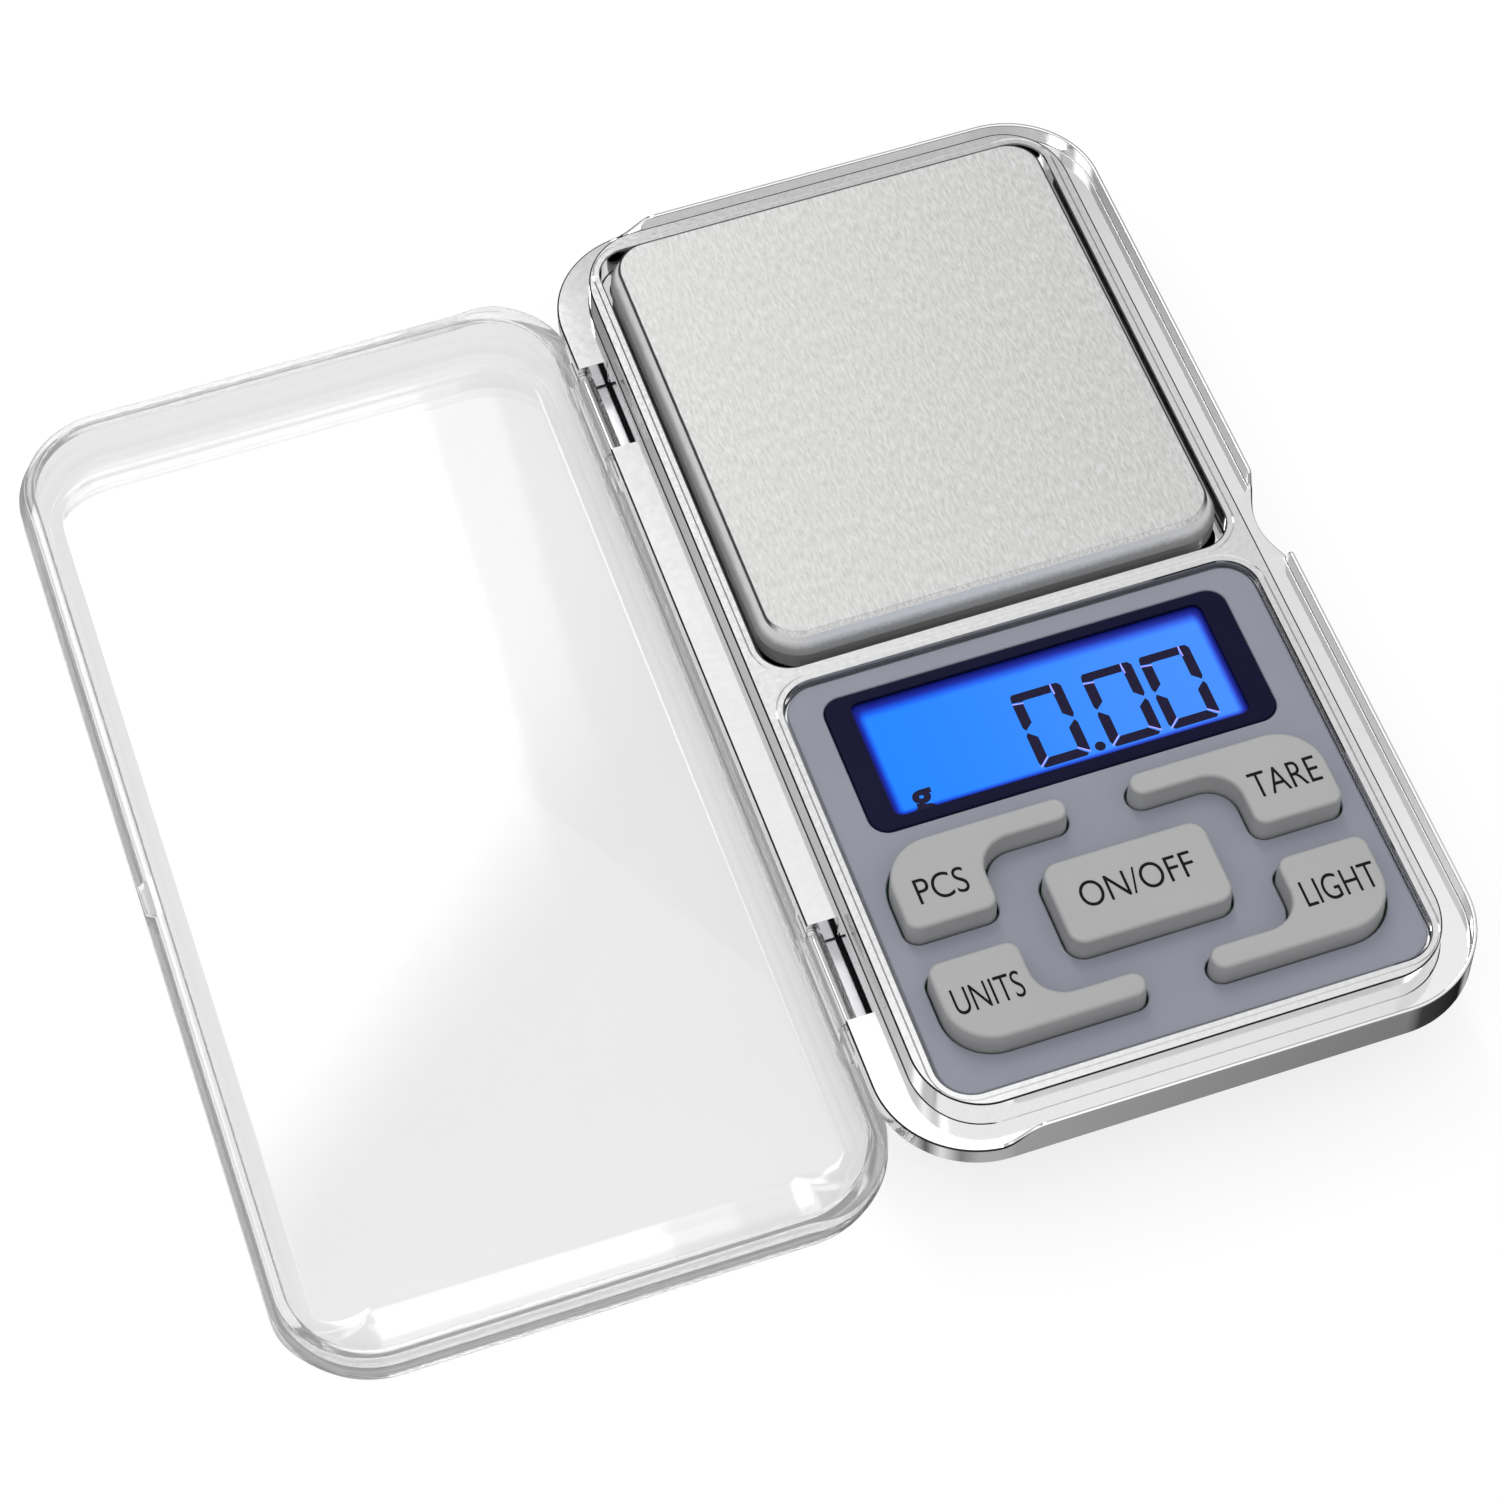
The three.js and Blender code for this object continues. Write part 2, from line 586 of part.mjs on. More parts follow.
// ---- display ------------------------------------------------------------------------------
function controlPanel() {
  const holes = [roundedPoints(grown(LENS, 0.1), LENS_RADIUS + 0.1)];
  for (const key of keyOutlines(KEY_GAP)) {
    holes.push(key.outline);
  }
  const outline = roundedPoints(grown(KEYPAD_WINDOW, -0.3), KEYPAD_WINDOW_RADIUS - 0.3);
  return extruded(outline, PANEL_BOTTOM_Z, PANEL_TOP_Z, holes);
}

const DISPLAY_GLASS = { x0: -21.4, x1: 21.4, y0: -26, y1: -7.4 };
const DISPLAY_LIGHT = { x0: -20.5, x1: 20.5, y0: -23.9, y1: -8.7 };
const CONTACT_STRIP = { x0: -19, x1: 19, y0: -25.9, y1: -24.5 };

function circuitBoard() {
  const outline = { x0: -24.3, x1: 24.3, y0: -53.9, y1: -6.6 };
  let board = slab(outline, 2.6, BOARD_Z, BOARD_TOP_Z)
    .subtract(block(grown(DISPLAY_LIGHT, 0.35), BOARD_Z - 1, BOARD_TOP_Z + 1));
  for (const side of [-1, 1]) {
    board = board.subtract(
      rod(POST_RADIUS + 0.35, BOARD_Z - 1, BOARD_TOP_Z + 1, side * FRONT_POST.x, FRONT_POST.y),
    );
  }
  return board;
}

// ---- keys ---------------------------------------------------------------------------------
// The L-shaped key of the first quadrant about the keypad's centre, grown outwards by `gap`.
function cornerKeyPoints(gap) {
  const k = CORNER_KEY;
  const inner = 3.3 - gap;
  const outer = 5 + gap;
  const small = 1.4 + gap;
  const left = k.xInner - gap;
  const arm = k.yArm - gap;
  const tipRadius = (k.yTop - k.yArm + 2 * gap) / 2 - 0.02;
  const shape = new THREE.Shape();
  shape.absarc(k.xEnd + gap - outer, k.yTop + gap - outer, outer, 0, Math.PI / 2, false);
  shape.absarc(
    k.xTip - gap + tipRadius, k.yTop + gap - tipRadius, tipRadius, Math.PI / 2, Math.PI, false,
  );
  shape.absarc(
    k.xTip - gap + tipRadius, arm + tipRadius, tipRadius, Math.PI, Math.PI * 1.5, false,
  );
  shape.absarc(left - inner, arm - inner, inner, Math.PI / 2, 0, true);
  shape.absarc(left + small, k.yBottom - gap + small, small, Math.PI, Math.PI * 1.5, false);
  shape.absarc(
    k.xEnd + gap - small, k.yBottom - gap + small, small, Math.PI * 1.5, Math.PI * 2, false,
  );
  return shape.getPoints(KEY_ARC_STEPS);
}

function keyOutlines(gap) {
  const power = roundedPoints(grown(POWER_KEY, gap), POWER_KEY_RADIUS + gap);
  const outlines = [{ name: 'power_key', points: power }];
  const corners = [
    ['pieces_key', -1, 1], ['tare_key', 1, 1], ['units_key', -1, -1], ['light_key', 1, -1],
  ];
  for (const [name, sideX, sideY] of corners) {
    const points = cornerKeyPoints(gap).map((p) => new THREE.Vector2(sideX * p.x, sideY * p.y));
    outlines.push({ name, points: sideX * sideY < 0 ? points.reverse() : points });
  }
  return outlines.map(({ name, points }) => ({
    name,
    outline: points.map((p) => new THREE.Vector2(p.x, p.y + KEYPAD_CENTRE_Y)),
  }));
}

function keys() {
  const caps = keyOutlines(0);
  const flanges = keyOutlines(KEY_FLANGE);
  return caps.map(({ name, outline }, i) => {
    const cap = extruded(outline, KEY_BOTTOM_Z, KEY_TOP_Z);
    const flange = extruded(flanges[i].outline, KEY_BOTTOM_Z, KEY_FLANGE_TOP_Z);
    return toMesh(name, cap.add(flange), keyPlastic);
  });
}

function switchDome() {
  const profile = [[0, 0], [2.2, 0], [1.6, 0.12], [0.8, 0.2], [0, 0.2]];
  const points = profile.map(([r, z]) => new THREE.Vector2(r, z));
  const geometry = new THREE.LatheGeometry(points, 16);
  geometry.rotateX(Math.PI / 2);
  return toSolid(geometry);
}

// ---- power --------------------------------------------------------------------------------
// A dry cell along X with its nub at +X, centred on its own length.
function dryCell() {
  const half = CELL_LENGTH / 2;
  const shoulder = half - CELL_NUB_LENGTH;
  const profile = [
    [0, -half], [CELL_RADIUS - 0.4, -half], [CELL_RADIUS, -half + 0.4],
    [CELL_RADIUS, shoulder - 0.4], [CELL_RADIUS - 0.4, shoulder], [1.9, shoulder],
    [1.9, half], [0, half],
  ];
  const points = profile.map(([r, y]) => new THREE.Vector2(r, y));
  const geometry = new THREE.LatheGeometry(points, 24);
  geometry.rotateZ(-Math.PI / 2);
  return toSolid(geometry);
}

// A conical wire spring on +X, its wide end at x = 0.
function contactSpring() {
  const turns = 2.5;
  const wire = 0.25;
  class Coil extends THREE.Curve {
    getPoint(t) {
      const angle = t * turns * Math.PI * 2;
      const radius = 3.6 - 1.8 * t;
      return new THREE.Vector3(
        0.35 + 2.15 * t, radius * Math.cos(angle), radius * Math.sin(angle),
      );
    }
  }
  const section = new THREE.Shape();
  section.absarc(0, 0, wire, 0, Math.PI * 2, false);
  const geometry = new THREE.ExtrudeGeometry(section, {
    steps: 36, curveSegments: 3, extrudePath: new Coil(),
  });
  return toSolid(geometry);
}

function contactPlate(y0, y1) {
  return block({ x0: 0, x1: CONTACT_THICKNESS, y0, y1 }, CELL_Z - 4, CELL_Z + 5.1);
}

function contactDimple(y) {
  return block({ x0: -0.75, x1: 0.1, y0: y - 1.3, y1: y + 1.3 }, CELL_Z - 1.3, CELL_Z + 1.3);
}

// ---- assembly -----------------------------------------------------------------------------
function place(mesh, x, y, z) {
  mesh.position.set(x, y, z);
  return mesh;
}

const scale = new THREE.Group();
const body = new THREE.Group();
body.position.x = -HINGE_X;
scale.add(body);

body.add(toMesh('upper_housing', upperHousing(), silverPlating));
body.add(toMesh('lower_housing', lowerHousing(), silverShell));
body.add(toMesh('battery_door', batteryDoor(), silverShell));

for (const [placeName, y] of [['front', FRONT_FOOT_Y], ['rear', REAR_POST.y]]) {
  for (const [sideName, side] of [['left', -1], ['right', 1]]) {
    const foot = stacked(
      [[0.3, 0], [0, 0.3], [0, FOOT_HEIGHT]],
      { x0: -FOOT_RADIUS, x1: FOOT_RADIUS, y0: -FOOT_RADIUS, y1: FOOT_RADIUS }, FOOT_RADIUS,
    );
    const mesh = toMesh(`${placeName}_foot_${sideName}`, foot, rubber);
    body.add(place(mesh, side * REAR_POST.x, y, 0));
  }
}

for (const [postName, post, tip] of [['front', FRONT_POST, 13.2], ['rear', REAR_POST, 11.8]]) {
  for (const [sideName, side] of [['left', -1], ['right', 1]]) {
    const screw = machineScrew(0.75, 1.5, -tip, -2, -0.95).rotate([180, 0, 0]);
    const mesh = toMesh(`housing_screw_${postName}_${sideName}`, screw, screwSteel);
    body.add(place(mesh, side * post.x, post.y, 0));
  }
}

HINGE_CENTRES_Y.forEach((centreY, i) => {
  body.add(toMesh(`hinge_pin_${HINGE_NAMES[i]}`, hingePin(centreY), pinSteel));
});

body.add(toMesh('weighing_pan', weighingPan(), brushedSteel));
body.add(toMesh('pan_carrier', panCarrier(), innerPlastic));
FREE_SCREWS_Y.forEach((y, i) => {
  const top = CARRIER_BOTTOM_Z + CARRIER_PLATE;
  const screw = machineScrew(1.1, 2, 6, top, top + 1);
  body.add(place(toMesh(`carrier_screw_${i + 1}`, screw, screwSteel), 0, y, 0));
});
body.add(toMesh('load_cell', loadCell(), aluminium));
body.add(place(toMesh('strain_gauge_top', strainGauge(), gaugeWhite), 0, 0, LOAD_CELL_Z1 + 0.05));
body.add(place(toMesh('strain_gauge_bottom', strainGauge(), gaugeWhite), 0, 0, LOAD_CELL_Z0 - 0.35));
body.add(toMesh('load_cell_spacer', loadCellSpacer(), innerPlastic));
FIXED_SCREWS_Y.forEach((y, i) => {
  const screw = machineScrew(1, 1.9, 2, LOAD_CELL_Z1 + 0.02, LOAD_CELL_Z1 + 1);
  body.add(place(toMesh(`load_cell_screw_${i + 1}`, screw, screwSteel), 0, y, 0));
});
body.add(toMesh('load_cell_ribbon', gaugeRibbon(), ribbonGrey));

body.add(toMesh('keypad_panel', controlPanel(), panelPlastic));
body.add(toMesh('display_lens', slab(LENS, LENS_RADIUS, ...LENS_Z), lensPlastic));
body.add(toMesh('display_glass', block(DISPLAY_GLASS, ...GLASS_Z), displayGlass));
body.add(toMesh('display_backlight', block(DISPLAY_LIGHT, ...LIGHT_Z), backlightPlastic));
body.add(toMesh('display_contact_strip', block(CONTACT_STRIP, ...STRIP_Z), contactRubber));
body.add(toMesh('main_circuit_board', circuitBoard(), boardGreen));
const controller = rod(CONTROLLER.radius, CONTROLLER.z, CHIP_TOP_Z, CONTROLLER.x, CONTROLLER.y);
body.add(toMesh('controller_chip', controller, chipBlack));
body.add(toMesh('converter_chip', block(CONVERTER, CONVERTER_Z, CHIP_TOP_Z), chipBlack));
const crystal = rodAlongX(CRYSTAL.radius, CRYSTAL.x0, CRYSTAL.x1, CRYSTAL.y, CRYSTAL.z, 12);
body.add(toMesh('timing_crystal', crystal, springSteel));

for (const mesh of keys()) {
  body.add(mesh);
}
const domes = [['power', 0, 0], ['pieces', -18.2, 6.5], ['tare', 18.2, 6.5], ['units', -18.2, -6.5],
  ['light', 18.2, -6.5]];
for (const [name, x, y] of domes) {
  const dome = toMesh(`${name}_switch_dome`, switchDome(), springSteel);
  body.add(place(dome, x, KEYPAD_CENTRE_Y + y, BOARD_TOP_Z + 0.02));
}

CELL_CENTRES_Y.forEach((y, i) => {
  const side = i === 0 ? 1 : -1;
  const cell = toMesh(`battery_cell_${i + 1}`, dryCell(), cellJacket);
  cell.rotation.z = side > 0 ? 0 : Math.PI;
  body.add(place(cell, side * CELL_SHIFT_X, y, CELL_Z));
  const spring = toMesh(`contact_spring_${i + 1}`, contactSpring(), springSteel);
  spring.rotation.z = side > 0 ? 0 : Math.PI;
  body.add(place(spring, -side * CONTACT_X, y, CELL_Z));
});

const [frontCellY, rearCellY] = CELL_CENTRES_Y;
const bridge = contactPlate(frontCellY - 4, rearCellY + 4).add(contactDimple(frontCellY));
body.add(place(toMesh('contact_bridge', bridge, springSteel), CONTACT_X, 0, 0));
const negative = contactPlate(-frontCellY - 4, -frontCellY + 4);
const negativeMesh = toMesh('negative_terminal', negative, springSteel);
negativeMesh.rotation.z = Math.PI;
body.add(place(negativeMesh, -CONTACT_X, 0, 0));
const positive = contactPlate(-rearCellY - 4, -rearCellY + 4).add(contactDimple(-rearCellY));
const positiveMesh = toMesh('positive_terminal', positive, springSteel);
positiveMesh.rotation.z = Math.PI;
body.add(place(positiveMesh, -CONTACT_X, 0, 0));

// The open cover: half a turn about the hinge axis, which runs along Y above the origin.
const openCover = new THREE.Group();
openCover.position.z = HINGE_Z;
openCover.rotation.y = Math.PI;
scale.add(openCover);
const coverMesh = toMesh('lid_cover', cover().translate([-HINGE_X, 0, -HINGE_Z]), clearPlastic);
openCover.add(coverMesh);

export default scale;
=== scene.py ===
"""Pocket digital gram scale with a clear cover opened flat: its looks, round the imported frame.

Lengths in this script are millimetres until a mesh is made. Most pieces are drawn about the middle
of the case, as the CAD part is, and are moved to the row frame as they are made.
"""

import json
import math

import bmesh
import bpy
from mathutils import Matrix, Vector


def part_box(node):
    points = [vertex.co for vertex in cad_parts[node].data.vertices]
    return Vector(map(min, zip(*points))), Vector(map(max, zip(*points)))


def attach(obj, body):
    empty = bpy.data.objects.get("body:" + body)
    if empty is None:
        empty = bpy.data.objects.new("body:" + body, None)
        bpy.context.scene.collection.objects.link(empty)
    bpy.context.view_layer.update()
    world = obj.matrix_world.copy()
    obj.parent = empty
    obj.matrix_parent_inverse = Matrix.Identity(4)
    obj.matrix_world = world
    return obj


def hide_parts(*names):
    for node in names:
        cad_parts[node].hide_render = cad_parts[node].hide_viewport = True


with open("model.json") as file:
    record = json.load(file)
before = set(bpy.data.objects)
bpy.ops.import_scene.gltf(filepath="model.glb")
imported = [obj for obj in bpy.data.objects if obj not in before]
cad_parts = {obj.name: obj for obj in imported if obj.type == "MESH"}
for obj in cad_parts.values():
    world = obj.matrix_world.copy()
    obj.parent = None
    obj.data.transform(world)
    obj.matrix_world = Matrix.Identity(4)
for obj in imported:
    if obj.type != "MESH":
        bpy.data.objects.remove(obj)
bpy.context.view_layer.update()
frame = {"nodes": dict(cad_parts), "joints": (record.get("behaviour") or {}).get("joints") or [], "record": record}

MM = 0.001

# ---- places taken from the frame ---------------------------------------
case_low, case_high = [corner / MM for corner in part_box("upper_housing")]
CASE_X = (case_low.x + case_high.x) / 2
HALF_W = (case_high.x - case_low.x) / 2
HALF_L = (case_high.y - case_low.y) / 2
DECK_Z = case_high.z
EAR_BOTTOM = case_low.z
CASE_BOX = (-HALF_W, HALF_W, -HALF_L, HALF_L)

pan_low, pan_high = [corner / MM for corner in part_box("weighing_pan")]
key_low, key_high = [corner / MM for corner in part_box("power_key")]
panel_low, panel_high = [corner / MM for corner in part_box("keypad_panel")]
lens_low, lens_high = [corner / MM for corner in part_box("display_lens")]
joint_places = {joint["name"]: joint for joint in frame["joints"]}
HINGE_Z = joint_places["cover_hinge"]["pos_m"][2] / MM

# ---- driving sizes of the case and the cover ---------------------------
CASE_R = 10.5
SPLIT_Z = 9.9
FLANGE_Z = 12.35
LIP_Z = 14.4
LIP_W = 0.42
LIP_START_X = -19.4
LIP_RAMP = 4.4
DECK_SIDE_INSET = 3.6
DECK_END_INSET = 2.85
DECK_DRAFT = 0.12
SCALLOP_HALF = 4.9
SCALLOP_DEPTH = 1.35
KEY_WINDOW = (-25.6, 25.6, -55.45, -5.2)
KEY_WINDOW_R = 3.75
PAN_WINDOW = (-25.6, 25.6, -3.17, 55.05)
PAN_WINDOW_R = 3.5
KEY_LEDGE, PAN_LEDGE = (1.0, 14.65), (0.9, 13.2)
HINGE_YS = {"rear": 38.0, "front": -36.1}
HINGE_X = 0.5 - HALF_W
NOTCH_HALF = 5.7
NOTCH_DEPTH = 3.3
EAR_LENGTH = 3.5
TUB_INSET = 1.7
TUB_BOTTOM = 0.8
TUB_FLAT_INSET = 5.4
FRONT_SLOPE = 7.0
DOOR_TONGUE = 0.8
GRIP_Y, GRIP_STEP, GRIP_COUNT = -33.5, 1.3, 6
GROOVE_OUT = 0.75
GROOVE_W = 0.17
COVER_TOP = 20.2
COVER_RIM = 12.65
COVER_LEDGE = 14.5
COVER_RELIEF = 0.8
COVER_WALL = 2.0
COVER_SHEET = 1.4
COVER_TAB_Y = -2.7
KNUCKLE_R = 1.1
BORE_R = 0.8
PAN_R = 3.8
PAN_SHEET = 0.6
PAN_FLARE = 0.85
KEYPAD_Y = -39.55
KEY_EDGE = 0.4
LENS_R = 2.0
INK_THICK = 0.03
WHITE = (1.0, 1.0, 1.0)


# ---- mesh tools --------------------------------------------------------
def arc(centre_a, centre_b, radius, start, end, steps):
    """Points of an arc, in degrees."""
    angles = [math.radians(start + (end - start) * i / steps) for i in range(steps + 1)]
    return [
        (centre_a + radius * math.cos(angle), centre_b + radius * math.sin(angle))
        for angle in angles
    ]


def rounded_outline(box, radius, corner_steps=14, spacing=None):
    """Samples (x, y, normal x, normal y) of a rounded rectangle, counter-clockwise.

    The corners are arcs; with a spacing, the straight runs between them are divided as well.
    """
    x0, x1, y0, y1 = box
    corners = [
        (x1 - radius, y0 + radius, -90),
        (x1 - radius, y1 - radius, 0),
        (x0 + radius, y1 - radius, 90),
        (x0 + radius, y0 + radius, 180),
    ]
    samples = []
    for i, (cx, cy, start) in enumerate(corners):
        for x, y in arc(cx, cy, radius, start, start + 90, corner_steps):
            samples.append((x, y, (x - cx) / radius, (y - cy) / radius))
        if spacing:
            next_x, next_y, next_start = corners[(i + 1) % 4]
            last = samples[-1]
            first = arc(next_x, next_y, radius, next_start, next_start, 1)[0]
            length = math.dist(last[:2], first)
            count = max(1, round(length / spacing))
            for k in range(1, count):
                t = k / count
                x = last[0] + (first[0] - last[0]) * t
                y = last[1] + (first[1] - last[1]) * t
                samples.append((x, y, last[2], last[3]))
    return samples


def plan_box(low, high, grow=0.0):
    """The sides (x0, x1, y0, y1) of a node's box, about the middle of the case."""
    return (low.x - CASE_X - grow, high.x - CASE_X + grow, low.y - grow, high.y + grow)


def add_skin(bm, outline, profile_of, shift_x=CASE_X):
    """Adds a skin of quads round an outline and returns its rings of corners.

    profile_of(sample) gives the (inset, height) points of the skin at one sample of the outline.
    """
    columns = []
    for sample in outline:
        x, y, nx, ny = sample
        columns.append([
            bm.verts.new(((x - nx * inset + shift_x) * MM, (y - ny * inset) * MM, z * MM))
            for inset, z in profile_of(sample)
        ])
    count = len(columns)
    for i in range(count):
        left, right = columns[i], columns[(i + 1) % count]
        for k in range(len(left) - 1):
            bm.faces.new((left[k], right[k], right[k + 1], left[k + 1]))
    return [[column[k] for column in columns] for k in range(len(columns[0]))]


def ring_edges(bm, ring):
    """The edges between a ring's corners, made where they are missing."""
    edges = []
    for a, b in zip(ring, ring[1:] + ring[:1]):
        edges.append(bm.edges.get((a, b)) or bm.edges.new((a, b)))
    return edges


def fill(bm, *rings):
    """Closes a flat region bounded by the rings: an outline, and any holes in it."""
    if len(rings) == 1:
        bm.faces.new(rings[0])
        return
    edges = [edge for ring in rings for edge in ring_edges(bm, ring)]
    bmesh.ops.triangle_fill(bm, use_beauty=True, use_dissolve=False, edges=edges)


def link(bm, name):
    """Turns a bmesh into an object in the scene."""
    bmesh.ops.recalc_face_normals(bm, faces=bm.faces)
    mesh = bpy.data.meshes.new(name)
    bm.to_mesh(mesh)
    bm.free()
    piece = bpy.data.objects.new(name, mesh)
    bpy.context.scene.collection.objects.link(piece)
    return piece


def closed_skin(name, outline, profile_of, shift_x=CASE_X):
    """A solid with a skin round an outline, closed by a flat face at each end of its profile."""
    bm = bmesh.new()
    rings = add_skin(bm, outline, profile_of, shift_x)
    fill(bm, rings[0])
    fill(bm, rings[-1])
    return link(bm, name)


def box_piece(x0, x1, y0, y1, z0, z1, bevel=0.0):
    """A block given about the middle of the case, with its edges rounded by bevel."""
    bm = bmesh.new()
    bmesh.ops.create_cube(bm, size=1)
    for vert in bm.verts:
        vert.co = Vector((
            (x0 if vert.co.x < 0 else x1) + CASE_X,
            y0 if vert.co.y < 0 else y1,
            z0 if vert.co.z < 0 else z1,
        )) * MM
    if bevel:
        bmesh.ops.bevel(
            bm, geom=bm.edges[:], offset=bevel * MM, segments=3, profile=0.5, affect="EDGES",
        )
    return link(bm, "block")


def cylinder_piece(radius, start, end, steps=48, bevel=0.0):
    """A round bar between two points given about the middle of the case, with softened ends."""
    a, b = Vector(start), Vector(end)
    axis = b - a
    length = axis.length
    if bevel:
        profile = arc(radius - bevel, bevel, bevel, -90, 0, 4)
        profile += arc(radius - bevel, length - bevel, bevel, 0, 90, 4)
    else:
        profile = [(radius, 0.0), (radius, length)]
    turn = Vector((0, 0, 1)).rotation_difference(axis).to_matrix()
    bm = bmesh.new()
    columns = []
    for i in range(steps):
        angle = 2 * math.pi * i / steps
        column = []
        for r, h in profile:
            point = a + turn @ Vector((r * math.cos(angle), r * math.sin(angle), h))
            column.append(bm.verts.new((point + Vector((CASE_X, 0, 0))) * MM))
        columns.append(column)
    for i in range(steps):
        left, right = columns[i], columns[(i + 1) % steps]
        for k in range(len(left) - 1):
            bm.faces.new((left[k], right[k], right[k + 1], left[k + 1]))
    bm.faces.new([column[0] for column in reversed(columns)])
    bm.faces.new([column[-1] for column in columns])
    return link(bm, "bar")


def boolean(piece, cutter, operation="DIFFERENCE"):
    """Cuts one piece with another, or joins them, and removes the other."""
    modifier = piece.modifiers.new("cut", "BOOLEAN")
    modifier.operation = operation
    modifier.solver = "EXACT"
    modifier.object = cutter
    bpy.context.view_layer.update()
    graph = bpy.context.evaluated_depsgraph_get()
    mesh = bpy.data.meshes.new_from_object(piece.evaluated_get(graph))
    piece.modifiers.clear()
    piece.data = mesh
    bpy.data.objects.remove(cutter)


def finish_piece(piece, name, body, slot, *nodes, sharp=32):
    """Smooth shading with kept creases, then the piece's place in the frame."""
    piece.name = name
    piece.data.name = name
    piece.data.shade_smooth()
    piece.data.set_sharp_from_angle(angle=math.radians(sharp))
    modifier = piece.modifiers.new("normals", "WEIGHTED_NORMAL")
    modifier.keep_sharp = True
    modifier.weight = 80
    piece.data.materials.clear()
    piece.data.materials.append(MATERIALS[slot])
    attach(piece, body)
    if nodes:
        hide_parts(*nodes)


# ---- materials ---------------------------------------------------------
def new_material(name):
    """A material, with its nodes, its links and its Principled shader."""
    material = bpy.data.materials.new(name)
    material.use_nodes = True
    nodes, links = material.node_tree.nodes, material.node_tree.links
    return material, nodes, links, nodes["Principled BSDF"]


def noise(nodes, links, scale, detail=4.0, stretch=(1, 1, 1), roughness=0.5):
    """A noise texture in the piece's own space, in waves per metre, stretched along an axis."""
    coordinates = nodes.new("ShaderNodeTexCoord")
    mapping = nodes.new("ShaderNodeMapping")
    mapping.inputs["Scale"].default_value = stretch
    texture = nodes.new("ShaderNodeTexNoise")
    texture.inputs["Scale"].default_value = scale
    texture.inputs["Detail"].default_value = detail
    texture.inputs["Roughness"].default_value = roughness
    links.new(coordinates.outputs["Object"], mapping.inputs["Vector"])
    links.new(mapping.outputs["Vector"], texture.inputs["Vector"])
    return texture.outputs["Fac"]


def ramp(nodes, links, source, stops):
    """A colour ramp over source, with stops of (place, colour)."""
    node = nodes.new("ShaderNodeValToRGB")
    elements = node.color_ramp.elements
    while len(elements) < len(stops):
        elements.new(0.5)
    for element, (place, colour) in zip(elements, stops):
        element.position = place
        element.color = (*colour, 1)
    links.new(source, node.inputs["Fac"])
    return node.outputs["Color"]


def spread(nodes, links, source, low, high):
    """Source's middle range mapped to low..high."""
    node = nodes.new("ShaderNodeMapRange")
    node.inputs["From Min"].default_value = 0.3
    node.inputs["From Max"].default_value = 0.7
    node.inputs["To Min"].default_value = low
    node.inputs["To Max"].default_value = high
    links.new(source, node.inputs["Value"])
    return node.outputs["Result"]


def bump(nodes, links, shader, source, depth_mm, strength=1.0):
    """Raises the surface by source."""
    node = nodes.new("ShaderNodeBump")
    node.inputs["Strength"].default_value = strength
    node.inputs["Distance"].default_value = depth_mm * MM
    links.new(source, node.inputs["Height"])
    links.new(node.outputs["Normal"], shader.inputs["Normal"])


def smooth_step(nodes, links, source, start, end, low=0.0, high=1.0, kind="SMOOTHSTEP"):
    """Source's run from start to end eased into low..high."""
    node = nodes.new("ShaderNodeMapRange")
    node.interpolation_type = kind
    node.inputs["From Min"].default_value = start
    node.inputs["From Max"].default_value = end
    node.inputs["To Min"].default_value = low
    node.inputs["To Max"].default_value = high
    links.new(source, node.inputs["Value"])
    return node.outputs["Result"]


def combine(nodes, links, operation, *values):
    """Folds sockets and numbers together with one maths operation."""
    result = values[0]
    for value in values[1:]:
        node = nodes.new("ShaderNodeMath")
        node.operation = operation
        for socket, item in zip(node.inputs, (result, value)):
            if isinstance(item, (int, float)):
                socket.default_value = item
            else:
                links.new(item, socket)
        result = node.outputs["Value"]
    return result


def mix_colours(nodes, links, factor, a, b, blend="MIX"):
    """Mixes two colours, each a socket or a plain colour, by a factor."""
    node = nodes.new("ShaderNodeMix")
    node.data_type = "RGBA"
    node.blend_type = blend
    for name, item in (("Factor", factor), ("A", a), ("B", b)):
        if isinstance(item, (int, float)):
            node.inputs[name].default_value = item
        elif isinstance(item, tuple):
            node.inputs[name].default_value = (*item, 1)
        else:
            links.new(item, node.inputs[name])
    return node.outputs["Result"]


def shade(colour, factor):
    """A colour made lighter or darker."""
    return tuple(min(1.0, channel * factor) for channel in colour)


def moulded(name, colour, roughness, grain=900, depth_mm=0.004, vary=0.05, metallic=0.0,
            specular=0.5):
    """A moulded or plated surface: faint mottling, uneven gloss and a fine moulded grain."""
    material, nodes, links, shader = new_material(name)
    wide = noise(nodes, links, 60, 3)
    fine = noise(nodes, links, grain, 5)
    stops = [(0.3, shade(colour, 1 - vary)), (0.7, shade(colour, 1 + vary))]
    links.new(ramp(nodes, links, wide, stops), shader.inputs["Base Color"])
    gloss = spread(nodes, links, fine, roughness * 0.85, min(1, roughness * 1.15))
    links.new(gloss, shader.inputs["Roughness"])
    shader.inputs["Metallic"].default_value = metallic
    shader.inputs["Specular IOR Level"].default_value = specular
    bump(nodes, links, shader, fine, depth_mm)
    return material


def above(nodes, links, start, end):
    """Nought below one height of the piece, given in millimetres, rising to one at another."""
    coordinates = nodes.new("ShaderNodeTexCoord")
    split = nodes.new("ShaderNodeSeparateXYZ")
    links.new(coordinates.outputs["Object"], split.inputs["Vector"])
    return smooth_step(nodes, links, split.outputs["Z"], start * MM, end * MM)


